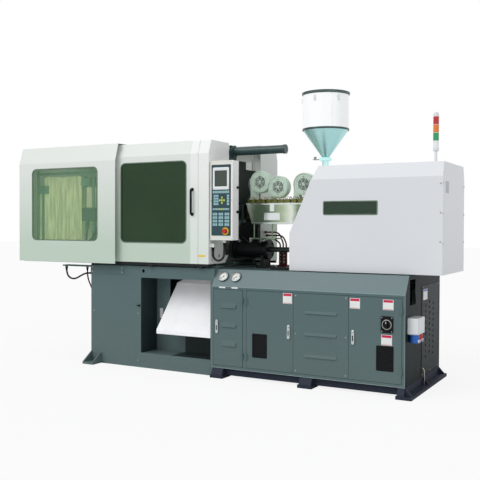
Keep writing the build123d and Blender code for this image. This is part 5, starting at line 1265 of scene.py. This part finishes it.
class MOULDER_OT_injection(bpy.types.Operator):
    """Fit terminals, wires, blower guards, plates, bolts and unions round the barrel"""

    bl_idname = "moulder.injection"
    bl_label = "Injection fittings"

    def execute(self, context):
        sizes = context.scene.machine_sizes
        heater_terminals()
        blower_fittings()
        shroud = Shape()
        shroud.plate(on_front(532.5, SHROUD_FACE, 1347), 151, 62, 3, 1.4)
        shroud.plate(on_front(533, SHROUD_FACE, 1425), 42, 70, 3, 1.2)
        shroud.border(on_front(585, SHROUD_FACE, 1372), 492, 172, 6, [(-10, 0), (-10, 1), (0, 1), (0, 0)])
        shroud.pan_heads(grid(on_front, (462, 603), SHROUD_FACE - 1.4, (1322, 1372)), 3)
        for i in range(8):
            shroud.pan_heads([on_front(345 + 66 * i, SHROUD_FACE, 1293),
                              on_front(300 + 68 * i, SHROUD_FACE, 1452)], 4.4)
        shroud.piece("shroud_plates", "satin_chrome", "carriage")
        purge = Shape()
        lean = 10
        for x in (176, 222):
            purge.skin(on_top(x, -150, 1300),
                       [[(0, 0, 0), (20, 0, 0), (20, 55, 0), (0, 55, 0)],
                        [(lean, 0, 150), (20 + lean, 0, 150), (20 + lean, 55, 150), (lean, 55, 150)]])
        purge.piece("purge_guard", "dark_steel")
        (Shape().bolts(grid(on_end, PLATEN_END, (-330, 0, 330), (1010, 1730)), sizes.frame_bolt)
         .piece("platen_bolts", "zinc"))
        seat_cylinder()
        manifold_unions()
        return {"FINISHED"}


class MOULDER_OT_hopper(bpy.types.Operator):
    """Fit bands, a rim, clips and a strip to the hopper, and rings to the signal light"""

    bl_idname = "moulder.hopper"
    bl_label = "Hopper fittings"

    def execute(self, context):
        axis = on_top(HOPPER_X, 0, 0)
        bands = Shape()
        bands.hoop(axis, [(193.1, 2064), (196, 2067), (196.4, 2074), (195, 2080), (193.1, 2081)], 64)
        bands.hoop(axis, [(193.1, 2356), (196, 2357), (196, 2364.6), (193.1, 2365.4)], 64)
        bands.hoop(axis, [(27.4, 1846), (33, 1846), (33, 1858), (27.6, 1866)], 32)
        bands.piece("hopper_bands", "dark_steel", "carriage")
        (Shape().hoop(axis, [(199.1, 2366.3), (200.8, 2367), (200.8, 2378.6), (199.1, 2379.4)], 64)
         .piece("lid_rim", "dark_steel", "lid"))
        clips = Shape()
        upright = Matrix.Rotation(radians(90), 4, "Y")
        for turn in (205, 265, 325):
            clips.plate(spun(axis, turn, 197, 2318) @ upright, 44, 18, 4, 5)
        clips.slab(spun(axis, -52, 193.4, 2220) @ upright, 270, 7, 1, [(0, -1), (1.5, 1)])
        clips.piece("hopper_clips", "satin_chrome", "carriage")
        light = Shape()
        base = on_top(SIGNAL_X, 0, 0)
        for z in (1871, 1934, 1997, 2060, 2123):
            light.hoop(base, [(22.1, z - 1.6), (22.9, z - 1), (22.9, z + 1), (22.1, z + 1.6)], 32)
        light.hoop(base, [(31, 1748), (31, 1752), (24, 1756), (22.3, 1766), (22.3, 1748)], 32)
        light.piece("signal_rings", "socket_plastic", "carriage")
        return {"FINISHED"}


class MOULDER_OT_base(bpy.types.Operator):
    """Fit the small parts of the base, and the sleeves of the two sockets"""

    bl_idname = "moulder.base"
    bl_label = "Base fittings"

    def execute(self, context):
        (Shape().plate(on_front(-1007, BASE_FACE, 863), 386, 78, 2, 4)
         .piece("base_mounting_plate", "panel_coat"))
        black = Shape()
        black.turned(on_front(-641, BASE_FACE, 553),
                     [(9, 0), (9, 5), (5, 6), (5, 13), (8, 14), (8, 18), (5, 20)], 20)
        black.rod([(-641, -470, 553), (-652, -474, 553), (-664, -472, 556)], 3.4)
        black.piece("base_hook", "black_plastic")
        screws = Shape()
        screws.pan_heads(grid(on_front, (-1178, -836), BASE_FACE - 4, (842, 884)), 5)
        screws.pan_heads(grid(on_front, (-1160, -660), BASE_FACE, (60, 480)), 5)
        screws.piece("base_screws", "zinc")
        sleeve = [(33.05, 415.4), (34.6, 415.4), (34.8, 440), (36, 442), (36, 452), (34.6, 454),
                  (34.6, 466), (33.05, 466)]
        for name, finish, y in (("socket_sleeve_1", "blue_plastic", -383.8),
                                ("socket_sleeve_2", "red_plastic", -296.4)):
            Shape().hoop(on_top(1824.5, y, 0), sleeve, 40).piece(name, finish)
        box = Shape()
        box.border(on_end(SOCKET_END, -342, 530), 170, 100, 10, [(-4, -1), (-4, 1.4), (2, 1.4), (2, -1)])
        box.pan_heads(grid(on_end, SOCKET_END, (-424, -260), (482, 578)), 4)
        box.piece("socket_box_rim", "socket_plastic")
        return {"FINISHED"}


class MOULDER_PT_panel(bpy.types.Panel):
    """Lists the machine's steps and sizes in the 3D view's sidebar"""

    bl_idname = "MOULDER_PT_panel"
    bl_label = "Moulding machine"
    bl_space_type = "VIEW_3D"
    bl_region_type = "UI"
    bl_category = "Moulding machine"

    def draw(self, context):
        for step in STEPS:
            self.layout.operator(step.bl_idname)
        for name, group in SETTINGS.items():
            for setting in group.__annotations__:
                self.layout.prop(getattr(context.scene, name), setting)


SETTINGS = {"machine_colours": MachineColours, "machine_sizes": MachineSizes, "moulder_stage": StageSettings}
STEPS = [MOULDER_OT_finishes, MOULDER_OT_stage, MOULDER_OT_cords, MOULDER_OT_windows, MOULDER_OT_guards,
         MOULDER_OT_doors, MOULDER_OT_gauges, MOULDER_OT_keypad, MOULDER_OT_injection, MOULDER_OT_hopper,
         MOULDER_OT_base]
KINDS = [*SETTINGS.values(), *STEPS, MOULDER_PT_panel]


def register():
    """Register the classes and give the scene its three groups of settings."""
    for kind in KINDS:
        bpy.utils.register_class(kind)
    for name, group in SETTINGS.items():
        setattr(bpy.types.Scene, name, PointerProperty(type=group))


def unregister():
    """Take the settings and the classes away again."""
    for name in SETTINGS:
        delattr(bpy.types.Scene, name)
    for kind in reversed(KINDS):
        bpy.utils.unregister_class(kind)


def main():
    """Run every step."""
    register()
    bpy.ops.moulder.finishes()
    bpy.ops.moulder.stage()
    bpy.ops.moulder.cords()
    bpy.ops.moulder.windows()
    bpy.ops.moulder.guards()
    bpy.ops.moulder.doors()
    bpy.ops.moulder.gauges()
    bpy.ops.moulder.keypad()
    bpy.ops.moulder.injection()
    bpy.ops.moulder.hopper()
    bpy.ops.moulder.base()


if __name__ == "__main__":
    main()
